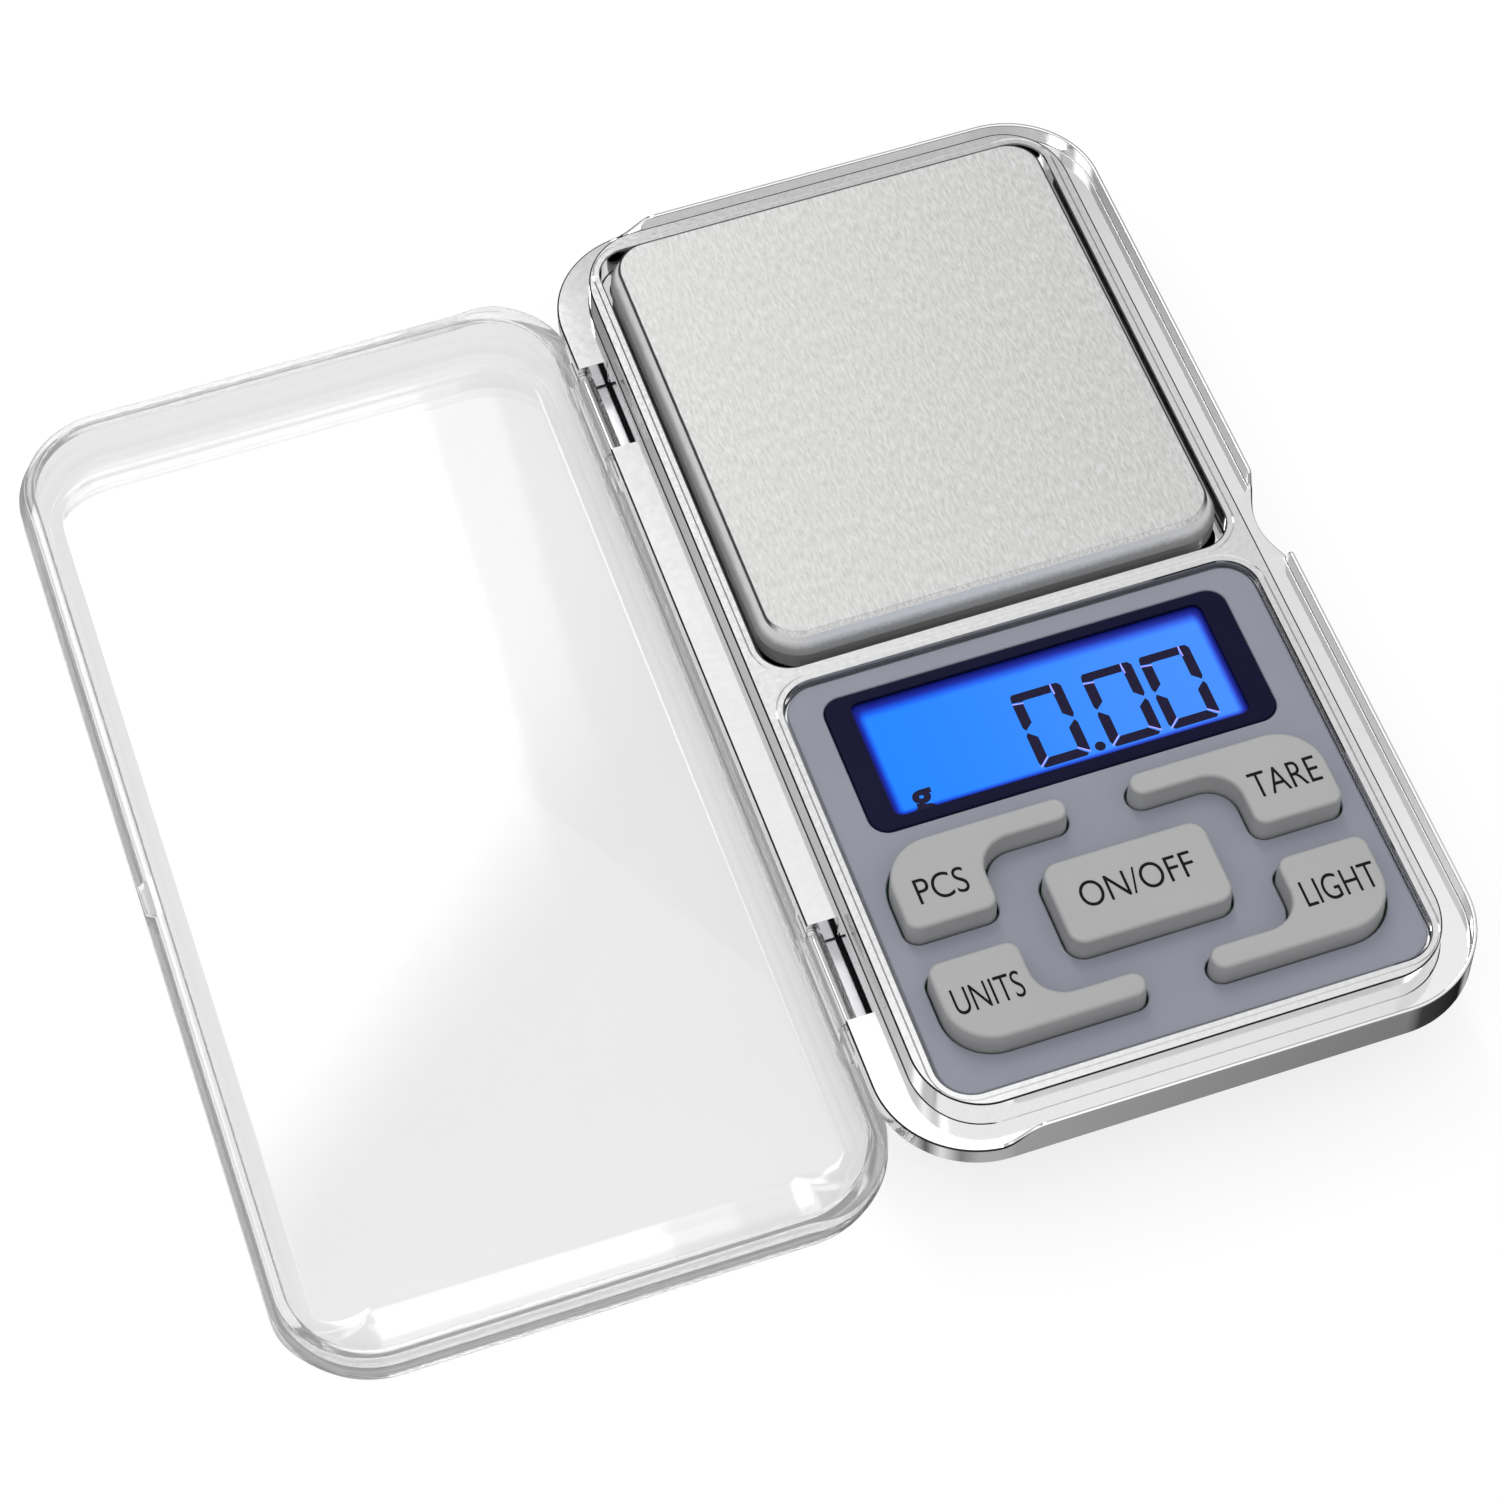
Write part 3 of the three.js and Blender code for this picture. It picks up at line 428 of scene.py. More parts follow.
def plating(name):
    """Bright silver plating; the raised deck is a little greyer and has a satin finish."""
    material, nodes, links, shader = new_material(name)
    fine = noise(nodes, links, 1500, 4)
    deck = above(nodes, links, DECK_Z - 0.12, DECK_Z - 0.02)
    bright, satin = (0.84, 0.84, 0.845), (0.72, 0.72, 0.725)
    stops = [(0.3, shade(bright, 0.988)), (0.7, shade(bright, 1.012))]
    bright = ramp(nodes, links, fine, stops)
    stops = [(0.3, shade(satin, 0.95)), (0.7, shade(satin, 1.05))]
    satin = ramp(nodes, links, fine, stops)
    links.new(mix_colours(nodes, links, deck, bright, satin), shader.inputs["Base Color"])
    gloss = combine(nodes, links, "MULTIPLY", deck, 0.05)
    gloss = combine(nodes, links, "ADD", gloss, spread(nodes, links, fine, 0.06, 0.08))
    links.new(gloss, shader.inputs["Roughness"])
    shader.inputs["Metallic"].default_value = 1.0
    bump(nodes, links, shader, fine, 0.001)
    return material


def brushed(name):
    """Steel with short fine brush strokes along the scale, a polished rim and dull walls whose colour is painted
    shade towards the bottom and a painted highlight near the top.
    """
    material, nodes, links, shader = new_material(name)
    strokes = noise(nodes, links, 3300, 3, (1, 0.24, 1), 0.65)
    stops = [(0.32, (0.45, 0.45, 0.445)), (0.68, (0.66, 0.66, 0.655))]
    rim = above(nodes, links, pan_high.z - 0.45, pan_high.z - 0.38)
    steel = ramp(nodes, links, strokes, stops)
    # Painted light and shade on the walls: their colour darkens towards the bottom as painted shade and turns near
    # white under the rim as a painted highlight.
    height = above(nodes, links, DECK_Z - 0.3, pan_high.z - 0.45)
    height = combine(nodes, links, "ADD", height, combine(nodes, links, "MULTIPLY", strokes, 0.3))
    stops = [(0.15, (0.27, 0.27, 0.267)), (0.55, (0.37, 0.37, 0.367)), (1.0, (0.92, 0.92, 0.91))]
    walls = ramp(nodes, links, height, stops)
    links.new(mix_colours(nodes, links, rim, walls, steel), shader.inputs["Base Color"])
    top = above(nodes, links, pan_high.z - 0.1, pan_high.z - 0.01)
    edge = combine(nodes, links, "SUBTRACT", rim, top)
    polish = combine(nodes, links, "MULTIPLY", edge, -0.34)
    dull = spread(nodes, links, strokes, 0.40, 0.50)
    links.new(combine(nodes, links, "ADD", polish, dull), shader.inputs["Roughness"])
    metal = combine(nodes, links, "MULTIPLY", rim, 0.75)
    links.new(combine(nodes, links, "ADD", metal, 0.15), shader.inputs["Metallic"])
    bump(nodes, links, shader, strokes, 0.012, 0.7)
    return material


def clear(name, tint, roughness=0.02):
    """Clear moulded plastic that bends what is seen through it and lets the lamps through.

    Light that would stay trapped in its walls leaks out in part, so that they don't go black.
    """
    material, nodes, links, shader = new_material(name)
    inside = nodes.new("ShaderNodeNewGeometry").outputs["Backfacing"]
    facing = nodes.new("ShaderNodeLayerWeight").outputs["Facing"]
    trapped = smooth_step(nodes, links, facing, 0.22, 0.3, 0.0, 0.28)
    leak = combine(nodes, links, "MULTIPLY", trapped, inside)
    links.new(combine(nodes, links, "SUBTRACT", 1.0, leak), shader.inputs["Alpha"])
    shader.inputs["Base Color"].default_value = (*tint, 1)
    shader.inputs["Transmission Weight"].default_value = 1.0
    shader.inputs["IOR"].default_value = 1.49
    wave = noise(nodes, links, 45, 2)
    gloss = spread(nodes, links, wave, roughness * 0.5, roughness * 1.5)
    links.new(gloss, shader.inputs["Roughness"])
    bump(nodes, links, shader, wave, 0.02, 0.35)
    through = nodes.new("ShaderNodeBsdfTransparent")
    through.inputs["Color"].default_value = (0.93, 0.935, 0.94, 1)
    path = nodes.new("ShaderNodeLightPath")
    mix = nodes.new("ShaderNodeMixShader")
    links.new(path.outputs["Is Shadow Ray"], mix.inputs["Fac"])
    links.new(shader.outputs["BSDF"], mix.inputs[1])
    links.new(through.outputs["BSDF"], mix.inputs[2])
    links.new(mix.outputs["Shader"], nodes["Material Output"].inputs["Surface"])
    return material


MATERIALS = {
    "silver_plating": plating("silver_plating"),
    "silver_shell": moulded("silver_shell", (0.62, 0.62, 0.64), 0.3, 900, 0.004, 0.03, 1.0),
    "clear_plastic": clear("clear_plastic", (0.8, 0.8, 0.8)),
    "brushed_steel": brushed("brushed_steel"),
    "pin_steel": moulded("pin_steel", (0.78, 0.78, 0.79), 0.12, 1200, 0.002, 0.02, 1.0),
    "panel_plastic": moulded("panel_plastic", (0.265, 0.275, 0.336), 0.42, 1400, 0.006, 0.03),
    "key_plastic": moulded("key_plastic", (0.428, 0.43, 0.428), 0.5, 1300, 0.006, 0.02),
    "lens_plastic": moulded("lens_plastic", (0.006, 0.0065, 0.030), 0.3, 300, 0.001, 0.1, 0, 0.05),
    "board_green": moulded("board_green", (0.02, 0.16, 0.06), 0.4, 700, 0.01, 0.1),
    "chip_black": moulded("chip_black", (0.02, 0.02, 0.022), 0.5, 900, 0.01, 0.1),
    "aluminium": moulded("aluminium", (0.7, 0.7, 0.72), 0.35, 900, 0.01, 0.05, 1.0),
    "gauge_white": moulded("gauge_white", (0.8, 0.78, 0.7), 0.7, 500, 0.02, 0.05),
    # inner_plastic also serves as the painted shade on the blocks in the hinge notches.
    "inner_plastic": moulded("inner_plastic", (0.006, 0.006, 0.007), 0.7, 900, 0.01, 0.1, 0, 0.08),
    "rubber": moulded("rubber", (0.02, 0.02, 0.02), 0.8, 800, 0.02, 0.15),
    "spring_steel": moulded("spring_steel", (0.75, 0.75, 0.74), 0.25, 900, 0.004, 0.03, 1.0),
    "cell_jacket": moulded("cell_jacket", (0.05, 0.12, 0.28), 0.35, 400, 0.004, 0.05, 0.3),
    "screw_steel": moulded("screw_steel", (0.4, 0.4, 0.42), 0.35, 900, 0.004, 0.05, 1.0),
    "contact_rubber": moulded("contact_rubber", (0.03, 0.03, 0.035), 0.8, 900, 0.01, 0.1),
    "ribbon_grey": moulded("ribbon_grey", (0.35, 0.37, 0.4), 0.6, 900, 0.01, 0.05),
    "backlight_plastic": moulded("backlight_plastic", (0.8, 0.87, 1.0), 0.5, 900, 0.01, 0.03),
}


def lit_display(name, low, high):
    """The lit display: bright blue, falling to deep blue where the edges shade it."""
    material, nodes, links, shader = new_material(name)
    coordinates = nodes.new("ShaderNodeTexCoord")
    split = nodes.new("ShaderNodeSeparateXYZ")
    links.new(coordinates.outputs["Object"], split.inputs["Vector"])

    def rise(axis, start, width):
        return smooth_step(nodes, links, split.outputs[axis], start, start + width)

    light = combine(
        nodes, links, "MULTIPLY",
        rise("X", low.x, 1.4 * MM), rise("X", high.x, -1.3 * MM),
        rise("Y", low.y, 1.0 * MM), rise("Y", high.y, -2.3 * MM),
    )
    cloud = combine(nodes, links, "MULTIPLY", noise(nodes, links, 40, 2), 0.1)
    stops = [
        (0.04, (0.002, 0.003, 0.10)), (0.3, (0.002, 0.012, 0.36)),
        (0.72, (0.004, 0.12, 0.88)), (1.0, (0.012, 0.235, 0.98)),
    ]
    glow = ramp(nodes, links, combine(nodes, links, "ADD", cloud, light), stops)
    across = combine(nodes, links, "MULTIPLY", rise("X", low.x, high.x - low.x), light)
    glow = mix_colours(nodes, links, across, glow, (0.05, 0.045, 0.0), "ADD")
    shader.inputs["Base Color"].default_value = (0.005, 0.01, 0.05, 1)
    shader.inputs["Roughness"].default_value = 0.25
    shader.inputs["Specular IOR Level"].default_value = 0.06
    links.new(glow, shader.inputs["Emission Color"])
    shader.inputs["Emission Strength"].default_value = 1.0
    return material


def printed(name, colour, roughness=0.5, light=0.0):
    """Ink on a surface, slightly uneven."""
    material, nodes, links, shader = new_material(name)
    fleck = noise(nodes, links, 2500, 3)
    stops = [(0.3, shade(colour, 0.8)), (0.7, shade(colour, 1.2))]
    links.new(ramp(nodes, links, fleck, stops), shader.inputs["Base Color"])
    shader.inputs["Roughness"].default_value = roughness
    shader.inputs["Specular IOR Level"].default_value = 0.1
    if light:
        shader.inputs["Emission Color"].default_value = (*colour, 1)
        shader.inputs["Emission Strength"].default_value = light
    return material


# ---- case --------------------------------------------------------------
def smooth(value):
    """Eases a number from 0 to 1."""
    value = max(0.0, min(1.0, value))
    return value * value * (3 - 2 * value)


def lip_height(x, y):
    """How much of the outer lip stands at a point of the outline, from 0 to 1."""
    if x < LIP_START_X - LIP_RAMP / 2:
        return 0.0
    rise = smooth((x - LIP_START_X) / LIP_RAMP + 0.5)
    if x > HALF_W - 1:
        rise *= smooth((abs(y) - SCALLOP_HALF) / 0.7)
    return rise


def scallop(x, y):
    """How far the finger scallop pushes the outer edge inwards."""
    if x < HALF_W - 1 or abs(y) > SCALLOP_HALF:
        return 0.0
    return SCALLOP_DEPTH * (1 - (y / SCALLOP_HALF) ** 2) ** 1.25


def chamfer(nx, ny, inset, top, size):
    """The two corners of a narrow bevel from a wall facing (nx, ny) to a flat top.

    It leans more on the walls that face the back, so that it catches the dark horizon all round.
    """
    lean = math.radians(46 + 5 * nx + 16 * ny)
    low = (inset, top - size * math.cos(lean))
    return [low, (inset + size * math.sin(lean), top)]


def case_profile(sample):
    """Up the side band, over the lip, across the flange and up the deck's wall."""
    x, y, nx, ny = sample
    lip = lip_height(x, y)
    height = (LIP_Z - FLANGE_Z) * lip
    top = FLANGE_Z + height
    inner = min(0.14, height / 2)
    points = arc(0.2, SPLIT_Z + 0.2, 0.2, 270, 180, 4)
    low, high = chamfer(nx, ny, 0.0, top, 0.24)
    for i, (a, b) in enumerate(arc(0.14, top - 0.14, 0.14, 180, 90, 6)):
        t = i / 6
        flat = [start + (end - start) * t for start, end in zip(low, high)]
        points.append((flat[0] + (a - flat[0]) * lip, flat[1] + (b - flat[1]) * lip))
    points += arc(LIP_W - inner, top - inner, inner, 90, 0, 4)
    points += arc(LIP_W + inner, FLANGE_Z + inner, inner, 180, 270, 4)
    wall = DECK_SIDE_INSET * nx * nx + DECK_END_INSET * ny * ny
    root = [(2 * wall - a, 2 * FLANGE_Z - b) for a, b in chamfer(nx, ny, wall, FLANGE_Z, 0.16)]
    points += reversed(root)
    points += chamfer(nx, ny, wall + DECK_DRAFT, DECK_Z, 0.24)
    push = scallop(x, y)
    return [(inset + push * max(0.0, 1 - inset / DECK_SIDE_INSET), z) for inset, z in points]


def window_profile(ledge, ledge_z):
    """From a fine groove round a window, down into it, over a ledge, to the case's split.

    A ledge is given by its width and its height above the floor.
    """
    half = GROOVE_W / 2
    groove = [
        (-GROOVE_OUT - half, DECK_Z), (-GROOVE_OUT, DECK_Z - half), (-GROOVE_OUT + half, DECK_Z),
    ]
    step = [(0.0, ledge_z + 0.1), (0.1, ledge_z), (ledge, ledge_z), (ledge, SPLIT_Z)]

    def profile(sample):
        edge = chamfer(-sample[2], -sample[3], 0.0, DECK_Z, 0.2)
        return groove + [(-inset, z) for inset, z in reversed(edge)] + step

    return profile


def silver_top():
    """The plated top: flange, lip and deck, with two windows, hinge ears and hinge notches."""
    bm = bmesh.new()
    outline = rounded_outline(CASE_BOX, CASE_R, 26, 0.35)
    outer = add_skin(bm, outline, case_profile)
    keys = add_skin(bm, rounded_outline(KEY_WINDOW, KEY_WINDOW_R, 16), window_profile(*KEY_LEDGE))
    pan = add_skin(bm, rounded_outline(PAN_WINDOW, PAN_WINDOW_R, 16), window_profile(*PAN_LEDGE))
    fill(bm, outer[-1], keys[0], pan[0])
    fill(bm, outer[0], keys[-1], pan[-1])
    piece = link(bm, "silver_top")
    for y in HINGE_YS.values():
        reach = NOTCH_HALF + EAR_LENGTH
        ears = box_piece(-HALF_W, -HALF_W + 4, y - reach, y + reach, EAR_BOTTOM, SPLIT_Z + 1, 0.2)
        boolean(piece, ears, "UNION")
        notch = box_piece(
            -HALF_W - 2, -HALF_W + NOTCH_DEPTH, y - NOTCH_HALF, y + NOTCH_HALF,
            EAR_BOTTOM - 1, FLANGE_Z + 1, 0.12,
        )
        boolean(piece, notch)
    finish_piece(piece, "silver_top", "case", "silver_plating", "upper_housing", sharp=24)


def tub_curve(steps=18):
    """The tub's side from its flat bottom up to the case's split, as one smooth sweep."""
    flat, top = (TUB_FLAT_INSET, TUB_BOTTOM), (TUB_INSET, SPLIT_Z - 0.15)
    pull_low, pull_high = (3.1, TUB_BOTTOM), (2.1, 4.2)
    points = []
    for i in range(steps + 1):
        t = i / steps
        weights = ((1 - t) ** 3, 3 * t * (1 - t) ** 2, 3 * t * t * (1 - t), t ** 3)
        controls = (flat, pull_low, pull_high, top)
        points.append(tuple(sum(w * c[k] for w, c in zip(weights, controls)) for k in (0, 1)))
    return points


def soft_max(a, b, width):
    """The larger of two numbers, eased where they are closer than width."""
    near = max(0.0, width - abs(a - b)) / width
    return max(a, b) + near * near * width / 4


def tub_solid():
    """The closed tub: a swept side, sloped at the front, and a bevelled inside."""
    curve = tub_curve()
    inside = [(TUB_INSET + 1.4, SPLIT_Z - 0.15), (TUB_INSET + 1.4, 6.0), (TUB_INSET + 5.9, 2.3)]

    def profile(sample):
        front = smooth(-1.7 * sample[3])
        slope = [(inset, front * FRONT_SLOPE * (1 - z / SPLIT_Z), z) for inset, z in curve]
        outside = [(soft_max(inset, sloped, 0.6), z) for inset, sloped, z in slope]
        outside[-1] = curve[-1]
        return outside + inside

    return closed_skin("tub", rounded_outline(CASE_BOX, CASE_R, 22, 4), profile)


def door_box(grow, z1):
    """The block that parts the battery cover from the tub, without the CAD door's tongues."""
    x0, x1, _, y1 = plan_box(*[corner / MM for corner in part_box("battery_door")], grow)
    return (x0 + DOOR_TONGUE, x1 - DOOR_TONGUE, -HALF_L - 2, y1, -1, z1)


def silver_tub():
    """The tub, with room for the battery cover and for the ears of the hinges."""
    piece = tub_solid()
    boolean(piece, box_piece(*door_box(0.2, 2.25)))
    for y in HINGE_YS.values():
        reach = NOTCH_HALF + EAR_LENGTH + 0.2
        relief = box_piece(
            -HALF_W - 1, -26.8, y - reach, y + reach, EAR_BOTTOM - 0.3, SPLIT_Z + 1,
        )
        boolean(piece, relief)
    finish_piece(piece, "silver_tub", "case", "silver_shell", "lower_housing")


def battery_cover():
    """The thin sliding cover under the tub, with grooves for a finger."""
    piece = tub_solid()
    boolean(piece, box_piece(*door_box(0.0, 2.0)), "INTERSECT")
    for i in range(GRIP_COUNT):
        y = GRIP_Y - GRIP_STEP * i
        groove = box_piece(-5.5, 5.5, y - 0.3, y + 0.3, TUB_BOTTOM - 0.5, TUB_BOTTOM + 0.3, 0.12)
        boolean(piece, groove)
    finish_piece(piece, "battery_cover", "door", "silver_shell", "battery_door")


def foot_pads():
    """Four round rubber pads: the front ones on the battery cover, the rear ones on the tub."""
    for place, body in (("front", "door"), ("rear", "case")):
        for side in ("left", "right"):
            node = f"{place}_foot_{side}"
            low, high = [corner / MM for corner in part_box(node)]
            radius = (high.x - low.x) / 2
            box = (low.x, high.x, low.y, high.y)
            points = [(0.9, 0.0)] + arc(0.45, 0.45, 0.45, 250, 180, 6) + [(0.0, high.z)]
            pad = closed_skin(node, rounded_outline(box, radius, 16), lambda sample: points, 0)
            finish_piece(pad, f"{place}_pad_{side}", body, "rubber", node)


# The painted shade in a hinge notch: a near-black block under the notch and one on the wall behind it, each as x0,
# x1, z0, z1.
NOTCH_SHADE_BLOCKS = [(-28.0, -25.6, 8.31, 8.7), (-26.9, -26.2, 8.5, SPLIT_Z - 0.05)]


def painted_notch_shades():
    """Painted shade in the hinge notches: near-black blocks where the inside of the case lies in shade."""
    for name, y in HINGE_YS.items():
        reach = NOTCH_HALF - 0.05
        recess, back = [
            box_piece(x0, x1, y - reach, y + reach, z0, z1, 0.1) for x0, x1, z0, z1 in NOTCH_SHADE_BLOCKS
        ]
        boolean(recess, back, "UNION")
        # The near-black inner_plastic on these blocks is painted shade.
        finish_piece(recess, f"painted_notch_shade_{name}", "case", "inner_plastic")


def hinge_bar(radius, y0, y1, steps=48, bevel=0.0):
    """A round bar along the hinge's axis."""
    return cylinder_piece(radius, (HINGE_X, y0, HINGE_Z), (HINGE_X, y1, HINGE_Z), steps, bevel)


def hinge_pins():
    """The steel pins that the cover turns on."""
    for name, y in HINGE_YS.items():
        node = f"hinge_pin_{name}"
        low, high = [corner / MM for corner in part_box(node)]
        piece = hinge_bar((high.z - low.z) / 2, low.y, high.y, 32, 0.15)
        finish_piece(piece, f"steel_pin_{name}", "case", "pin_steel", node)


# ---- clear cover -------------------------------------------------------
def cover_relief(x, y):
    """The step in the cover's rim that fits inside the lip; none by the hinge or at the tab."""
    relief = COVER_RELIEF * smooth((x - LIP_START_X + 6) / 5.5)
    from_tab = abs(y - COVER_TAB_Y)
    if x > HALF_W - 1 and from_tab < 2.2:
        relief *= smooth((from_tab - 1.7) / 0.5)
    return relief


def oval(top, reach, drop, start):
    """A quarter of an oval from a flat top, reach wide and drop deep, down to a wall at start."""
    quarter = arc(0, 0, 1, 90, 180, 12)
    return [(start + reach + reach * a, top - drop + drop * b) for a, b in quarter]


def cover_profile(sample):
    """From the flat top, over the shoulder, down to the rim, and up the inside."""
    x, y = sample[:2]
    relief = cover_relief(x, y)
    front = smooth(-1.3 * sample[3])
    points = oval(COVER_TOP, 2.2 + 6.6 * front, 3.4 + 2.2 * front, 0.0)
    if relief < 0.3:  # hardly a step, so the wall runs straight on
        points += [(0.0, COVER_LEDGE + 0.15 - 0.05 * k) for k in range(4)]
    else:
        points += arc(0.15, COVER_LEDGE + 0.15, 0.15, 180, 270, 3)
    points += [(relief, COVER_LEDGE - 0.02), (relief, COVER_LEDGE - 0.2)]
    points += arc(relief + 0.2, COVER_RIM + 0.2, 0.2, 180, 270, 4)
    points += arc(COVER_WALL - 0.3, COVER_RIM + 0.3, 0.3, 270, 360, 4)
    top = COVER_TOP - COVER_SHEET
    points += oval(top, 2.2 + 5.2 * front, 2.2 + 2.2 * front, COVER_WALL)[::-1]
    return points


def clear_cover():
    """The cover, drawn shut and then turned open about the hinge."""
    piece = closed_skin("clear_cover", rounded_outline(CASE_BOX, CASE_R, 26, 0.5), cover_profile)
    half = NOTCH_HALF - 0.3
    for y in HINGE_YS.values():
        for end in (-1, 1):
            y0, y1 = sorted((y + end * half, y + end * (half + 2)))
            slot = box_piece(
                -HALF_W - 1, -HALF_W + 1.1, y0, y1, COVER_RIM - 1, COVER_RIM + 1.6, 0.1,
            )
            boolean(piece, slot)
        arm = box_piece(
            HINGE_X - 0.5, HINGE_X + 0.9, y - half, y + half, HINGE_Z, COVER_RIM + 0.5, 0.1,
        )
        boolean(piece, arm, "UNION")
        boolean(piece, hinge_bar(KNUCKLE_R, y - half, y + half, bevel=0.12), "UNION")
        reach = half + 1
        boolean(piece, hinge_bar(BORE_R, y - reach, y + reach))
    half_turn = Matrix.Rotation(math.pi, 4, "Y")
    to_hinge = Matrix.Translation((0, 0, HINGE_Z * MM))
    piece.data.transform(to_hinge @ half_turn @ to_hinge.inverted())
    finish_piece(piece, "clear_cover", "cover", "clear_plastic", "lid_cover", sharp=40)


# ---- pan ---------------------------------------------------------------
def steel_pan():
    """A tray of sheet turned upside down: flared walls and a bevelled rim, wider at the front."""
    top = pan_high.z
    inside = [
        (PAN_SHEET + 1.2, top - PAN_SHEET), (PAN_SHEET, top - PAN_SHEET - 0.8),
        (PAN_SHEET, pan_low.z + 0.1),
    ]
    outside = [
        (0.35 - PAN_FLARE, pan_low.z), (-PAN_FLARE, pan_low.z + 0.3), (-PAN_FLARE, DECK_Z + 0.15),
        (0.0, top - 0.55),
    ]

    def profile(sample):
        nx, ny = sample[2:]
        front = smooth(-ny)
        return inside + outside + chamfer(nx, ny + 1.3 * front, 0.05, top, 0.36 + 0.3 * front)

    box = (pan_low.x, pan_high.x, pan_low.y, pan_high.y)
    piece = closed_skin("steel_pan", rounded_outline(box, PAN_R, 20), profile, 0)
    finish_piece(piece, "steel_pan", "pan", "brushed_steel", "weighing_pan", sharp=20)


# ---- keys and panel ----------------------------------------------------
def corner_outline(side_x, side_y):
    """The L-shaped key: a rounded block with an arm that reaches towards the middle."""
    x_end, x_inner, x_tip = 22.9, 13.4, 3.3
    y_top, y_arm, y_bottom = 11.95, 9.15, 1.95
    tip, inner, outer, small = (y_top - y_arm) / 2 - 0.02, 3.3, 5.0, 1.4
    pieces = [
        (x_end - outer, y_top - outer, outer, 0, 90, 1),
        (x_tip + tip, y_top - tip, tip, 90, 180, 1),
        (x_tip + tip, y_arm + tip, tip, 180, 270, 1),
        (x_inner - inner, y_arm - inner, inner, 90, 0, -1),
        (x_inner + small, y_bottom + small, small, 180, 270, 1),
        (x_end - small, y_bottom + small, small, 270, 360, 1),
    ]
    samples = []
    for cx, cy, radius, start, end, way in pieces:
        for x, y in arc(cx, cy, radius, start, end, 10):
            nx, ny = way * (x - cx) / radius, way * (y - cy) / radius
            samples.append((side_x * x, KEYPAD_Y + side_y * y, side_x * nx, side_y * ny))
    return samples if side_x * side_y > 0 else samples[::-1]


def key_outlines():
    """The outline of each key, by the key's name: a rounded block among four corner keys."""
    return {
        "power": rounded_outline((-8.6, 8.6, KEYPAD_Y - 4.9, KEYPAD_Y + 4.9), 1.8, 12),
        "pieces": corner_outline(-1, 1),
        "tare": corner_outline(1, 1),
        "units": corner_outline(-1, -1),
        "light": corner_outline(1, -1),
    }


def key_caps():
    """The five keys, with slightly drawn-in sides and a rounded top edge."""
    edge_z = key_high.z - KEY_EDGE
    profile = [(0.0, key_low.z), (0.0, panel_high.z), (0.06, edge_z - 0.2)]
    profile += arc(KEY_EDGE + 0.1, edge_z, KEY_EDGE, 180, 90, 7)
    for name, outline in key_outlines().items():
        piece = closed_skin(f"{name}_cap", outline, lambda sample: profile)
        finish_piece(piece, f"{name}_cap", f"{name}_button", "key_plastic", f"{name}_key")


def grown_outline(outline, amount):
    """An outline moved outwards."""
    return [(x + nx * amount, y + ny * amount, nx, ny) for x, y, nx, ny in outline]


def pierced_plate(name, outline, holes, z0, z1, hole_edge):
    """A flat plate with holes, its top edges bevelled: the holes' by hole_edge."""
    bm = bmesh.new()
    side = [(0.0, z0), (0.0, z1 - 0.12), (0.12, z1)]
    outer = add_skin(bm, outline, lambda sample: side)
    hole = [(0.0, z0), (0.0, z1 - hole_edge), (-hole_edge, z1)]
    inner = [add_skin(bm, ring, lambda sample: hole) for ring in holes]
    fill(bm, outer[-1], *[rings[-1] for rings in inner])
    fill(bm, outer[0], *[rings[0] for rings in inner])
    return link(bm, name)


def grey_panel():
    """The panel, with an opening for the display and one for each key."""
    outline = rounded_outline(plan_box(panel_low, panel_high), KEY_WINDOW_R - 0.3, 16)
    holes = [rounded_outline(plan_box(lens_low, lens_high, 0.1), LENS_R + 0.1, 12)]
    holes += [grown_outline(key, 0.25) for key in key_outlines().values()]
    piece = pierced_plate("grey_panel", outline, holes, panel_low.z, panel_high.z, 0.1)
    finish_piece(piece, "grey_panel", "case", "panel_plastic", "keypad_panel")


# What each key says: its name, then the word's middle, width and height.
LEGENDS = {
    "PCS": ("pieces", -18.15, -33.6, 5.2, 2.95),
    "TARE": ("tare", 18.15, -33.1, 7.1, 3.0),
    "ON/OFF": ("power", 0.0, -39.3, 11.8, 2.95),
    "UNITS": ("units", -18.15, -46.45, 7.0, 3.0),
    "LIGHT": ("light", 18.35, -46.35, 7.65, 3.0),
}


def text_mesh(text, width, height, x, y, z, thick, name, weight=-0.004):
    """Plain lettering turned to a mesh and fitted to a width and height about a point."""
    curve = bpy.data.curves.new(name, "FONT")
    curve.body = text
    curve.extrude = 0.01
    curve.offset = weight
    source = bpy.data.objects.new(name, curve)
    bpy.context.scene.collection.objects.link(source)
    bpy.context.view_layer.update()
    graph = bpy.context.evaluated_depsgraph_get()
    mesh = bpy.data.meshes.new_from_object(source.evaluated_get(graph))
    bpy.data.objects.remove(source)
    xs = [vert.co.x for vert in mesh.vertices]
    ys = [vert.co.y for vert in mesh.vertices]
    zs = [vert.co.z for vert in mesh.vertices]
    for vert in mesh.vertices:
        vert.co = Vector((
            x + ((vert.co.x - min(xs)) / (max(xs) - min(xs)) - 0.5) * width + CASE_X,
            y + ((vert.co.y - min(ys)) / (max(ys) - min(ys)) - 0.5) * height,
            z + (vert.co.z - min(zs)) / (max(zs) - min(zs)) * thick,
        )) * MM
    piece = bpy.data.objects.new(name, mesh)
    bpy.context.scene.collection.objects.link(piece)
    return piece


def ink_piece(piece, body, ink):
    """Gives a piece of print its ink and its body."""
    piece.data.materials.clear()
    piece.data.materials.append(ink)
    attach(piece, body)


def key_legends():
    """The words printed on the keys."""
    ink = printed("legend_ink", (0.006, 0.006, 0.008), 0.6)
    for text, (key, x, y, width, height) in LEGENDS.items():
        name = f"{key}_legend"
        piece = text_mesh(text, width, height, x, y, key_high.z - 0.01, INK_THICK, name)
        ink_piece(piece, f"{key}_button", ink)


# ---- display -----------------------------------------------------------
LIT = (-19.0, 19.0, -23.2, -9.0)


